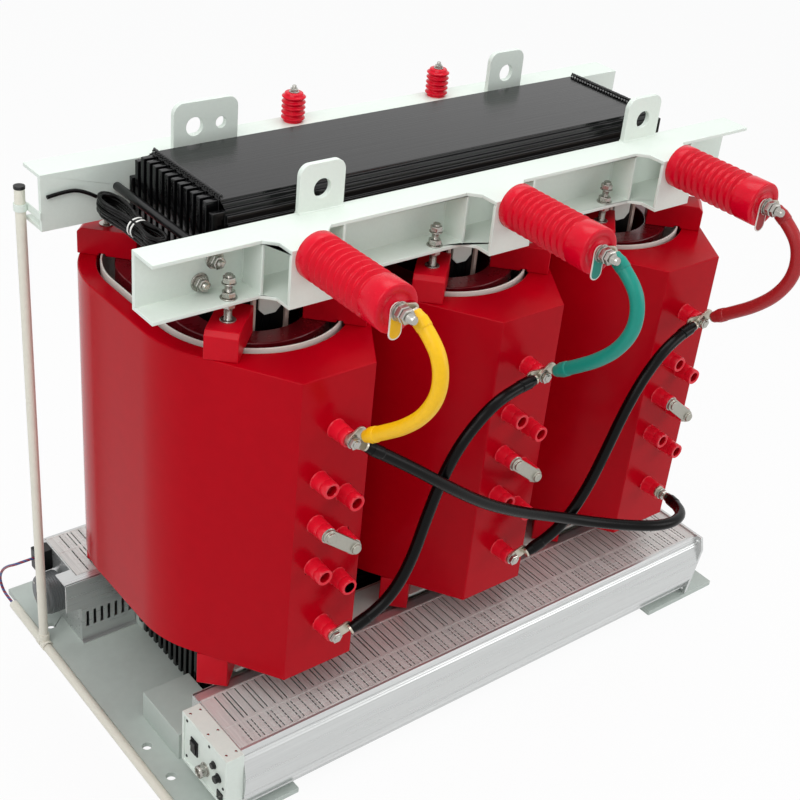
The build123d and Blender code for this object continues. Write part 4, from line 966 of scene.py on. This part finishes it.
for tie_y in (-0.004, 0.008):
    rings = []
    for edge, grow in ((tie_y - 0.002, 0.0), (tie_y - 0.002, 0.0012), (tie_y + 0.002, 0.0012),
                       (tie_y + 0.002, 0.0)):
        ring = []
        for step in range(40):
            angle = 2 * math.pi * step / 40
            ring.append(mesh.verts.new((hank_x + (0.0215 + grow) * math.cos(angle), edge,
                                        hank_low[2] + 0.0215 + (0.0195 + grow) * math.sin(angle))))
        rings.append(ring)
    skin(mesh, rings + rings[:1], capped=False)
piece("hank_ties", mesh, nylon, crease=60.0)

# ---------------------------------------------------------------- floor, lamps and camera
# The transformer stands on a pale seamless floor in the even light of large soft lamps.
def seen_rays(tree):
    """A socket that is 1 for camera, glossy and transmission rays, and 0 for the rest."""
    path = tree.nodes.new("ShaderNodeLightPath")
    straight = tree.nodes.new("ShaderNodeMath")
    straight.operation = "ADD"
    tree.links.new(path.outputs["Is Camera Ray"], straight.inputs[0])
    tree.links.new(path.outputs["Is Glossy Ray"], straight.inputs[1])
    every = tree.nodes.new("ShaderNodeMath")
    every.operation = "ADD"
    every.use_clamp = True
    tree.links.new(straight.outputs["Value"], every.inputs[0])
    tree.links.new(path.outputs["Is Transmission Ray"], every.inputs[1])
    return every.outputs["Value"]


floor_mesh = bpy.data.meshes.new("studio_floor")
reach = 14.0
floor_mesh.from_pydata([(-reach, -reach, 0), (reach, -reach, 0), (reach, reach, 0),
                        (-reach, reach, 0)], [], [(0, 1, 2, 3)])
floor = bpy.data.objects.new("studio_floor", floor_mesh)
bpy.context.scene.collection.objects.link(floor)
floor_finish = bpy.data.materials.new("floor_finish")
floor_finish.use_nodes = True
tree = floor_finish.node_tree
tree.nodes.clear()
matt = tree.nodes.new("ShaderNodeBsdfDiffuse")
matt.inputs["Color"].default_value = (0.86, 0.86, 0.86, 1.0)
glow = tree.nodes.new("ShaderNodeEmission")
glow.inputs["Color"].default_value = (1.0, 1.0, 1.0, 1.0)
part = tree.nodes.new("ShaderNodeMath")
part.operation = "MULTIPLY"
part.inputs[1].default_value = 0.93
tree.links.new(seen_rays(tree), part.inputs[0])
blend = tree.nodes.new("ShaderNodeMixShader")
tree.links.new(part.outputs["Value"], blend.inputs["Fac"])
tree.links.new(matt.outputs["BSDF"], blend.inputs[1])
tree.links.new(glow.outputs["Emission"], blend.inputs[2])
out_node = tree.nodes.new("ShaderNodeOutputMaterial")
tree.links.new(blend.outputs["Shader"], out_node.inputs["Surface"])
floor_mesh.materials.append(floor_finish)

world = bpy.data.worlds.new("studio")
bpy.context.scene.world = world
world.use_nodes = True
tree = world.node_tree
tree.nodes.clear()
room = tree.nodes.new("ShaderNodeBackground")
room.inputs["Color"].default_value = (0.95, 0.97, 1.0, 1.0)
room.inputs["Strength"].default_value = 0.55
white = tree.nodes.new("ShaderNodeBackground")
white.inputs["Color"].default_value = (1.0, 1.0, 1.0, 1.0)
white.inputs["Strength"].default_value = 1.0
blend = tree.nodes.new("ShaderNodeMixShader")
tree.links.new(seen_rays(tree), blend.inputs["Fac"])
tree.links.new(room.outputs["Background"], blend.inputs[1])
tree.links.new(white.outputs["Background"], blend.inputs[2])
out_node = tree.nodes.new("ShaderNodeOutputWorld")
tree.links.new(blend.outputs["Shader"], out_node.inputs["Surface"])


def lamp(name, place, aim_at, width, height, power):
    """A large soft lamp that shines from its place at the point."""
    light = bpy.data.lights.new(name, "AREA")
    light.shape = "RECTANGLE"
    light.size = width
    light.size_y = height
    light.energy = power
    holder = bpy.data.objects.new(name, light)
    bpy.context.scene.collection.objects.link(holder)
    holder.location = place
    holder.rotation_euler = (Vector(aim_at) - Vector(place)).to_track_quat("-Z", "Y").to_euler()


lamp("key_lamp", (-2.6, -1.2, 3.6), (0, 0, 0.6), 2.4, 2.4, 60.0)
lamp("fill_lamp", (2.6, -3.2, 2.2), (0, 0, 0.7), 2.0, 2.0, 34.0)
lamp("top_lamp", (0.6, 0.4, 4.2), (0, 0, 0.8), 3.0, 2.0, 50.0)

azimuth = math.radians(-41.054)
elevation = math.radians(31.335)
roll = math.radians(6.088)
back = Vector((math.sin(azimuth) * math.cos(elevation), -math.cos(azimuth) * math.cos(elevation),
               math.sin(elevation)))
level = Vector((0, 0, 1)).cross(back).normalized()
upward = back.cross(level)
right = math.cos(roll) * level + math.sin(roll) * upward
above = -math.sin(roll) * level + math.cos(roll) * upward
camera_place = (-1.90102, -2.21127, 2.37112)
camera_data = bpy.data.cameras.new("camera")
camera_data.lens = 62.82
camera_data.sensor_width = 36.0
camera = bpy.data.objects.new("camera", camera_data)
bpy.context.scene.collection.objects.link(camera)
camera.matrix_world = Matrix((
    (right.x, above.x, back.x, camera_place[0]),
    (right.y, above.y, back.y, camera_place[1]),
    (right.z, above.z, back.z, camera_place[2]),
    (0, 0, 0, 1)))
bpy.context.scene.camera = camera
bpy.context.scene.view_settings.view_transform = "Standard"
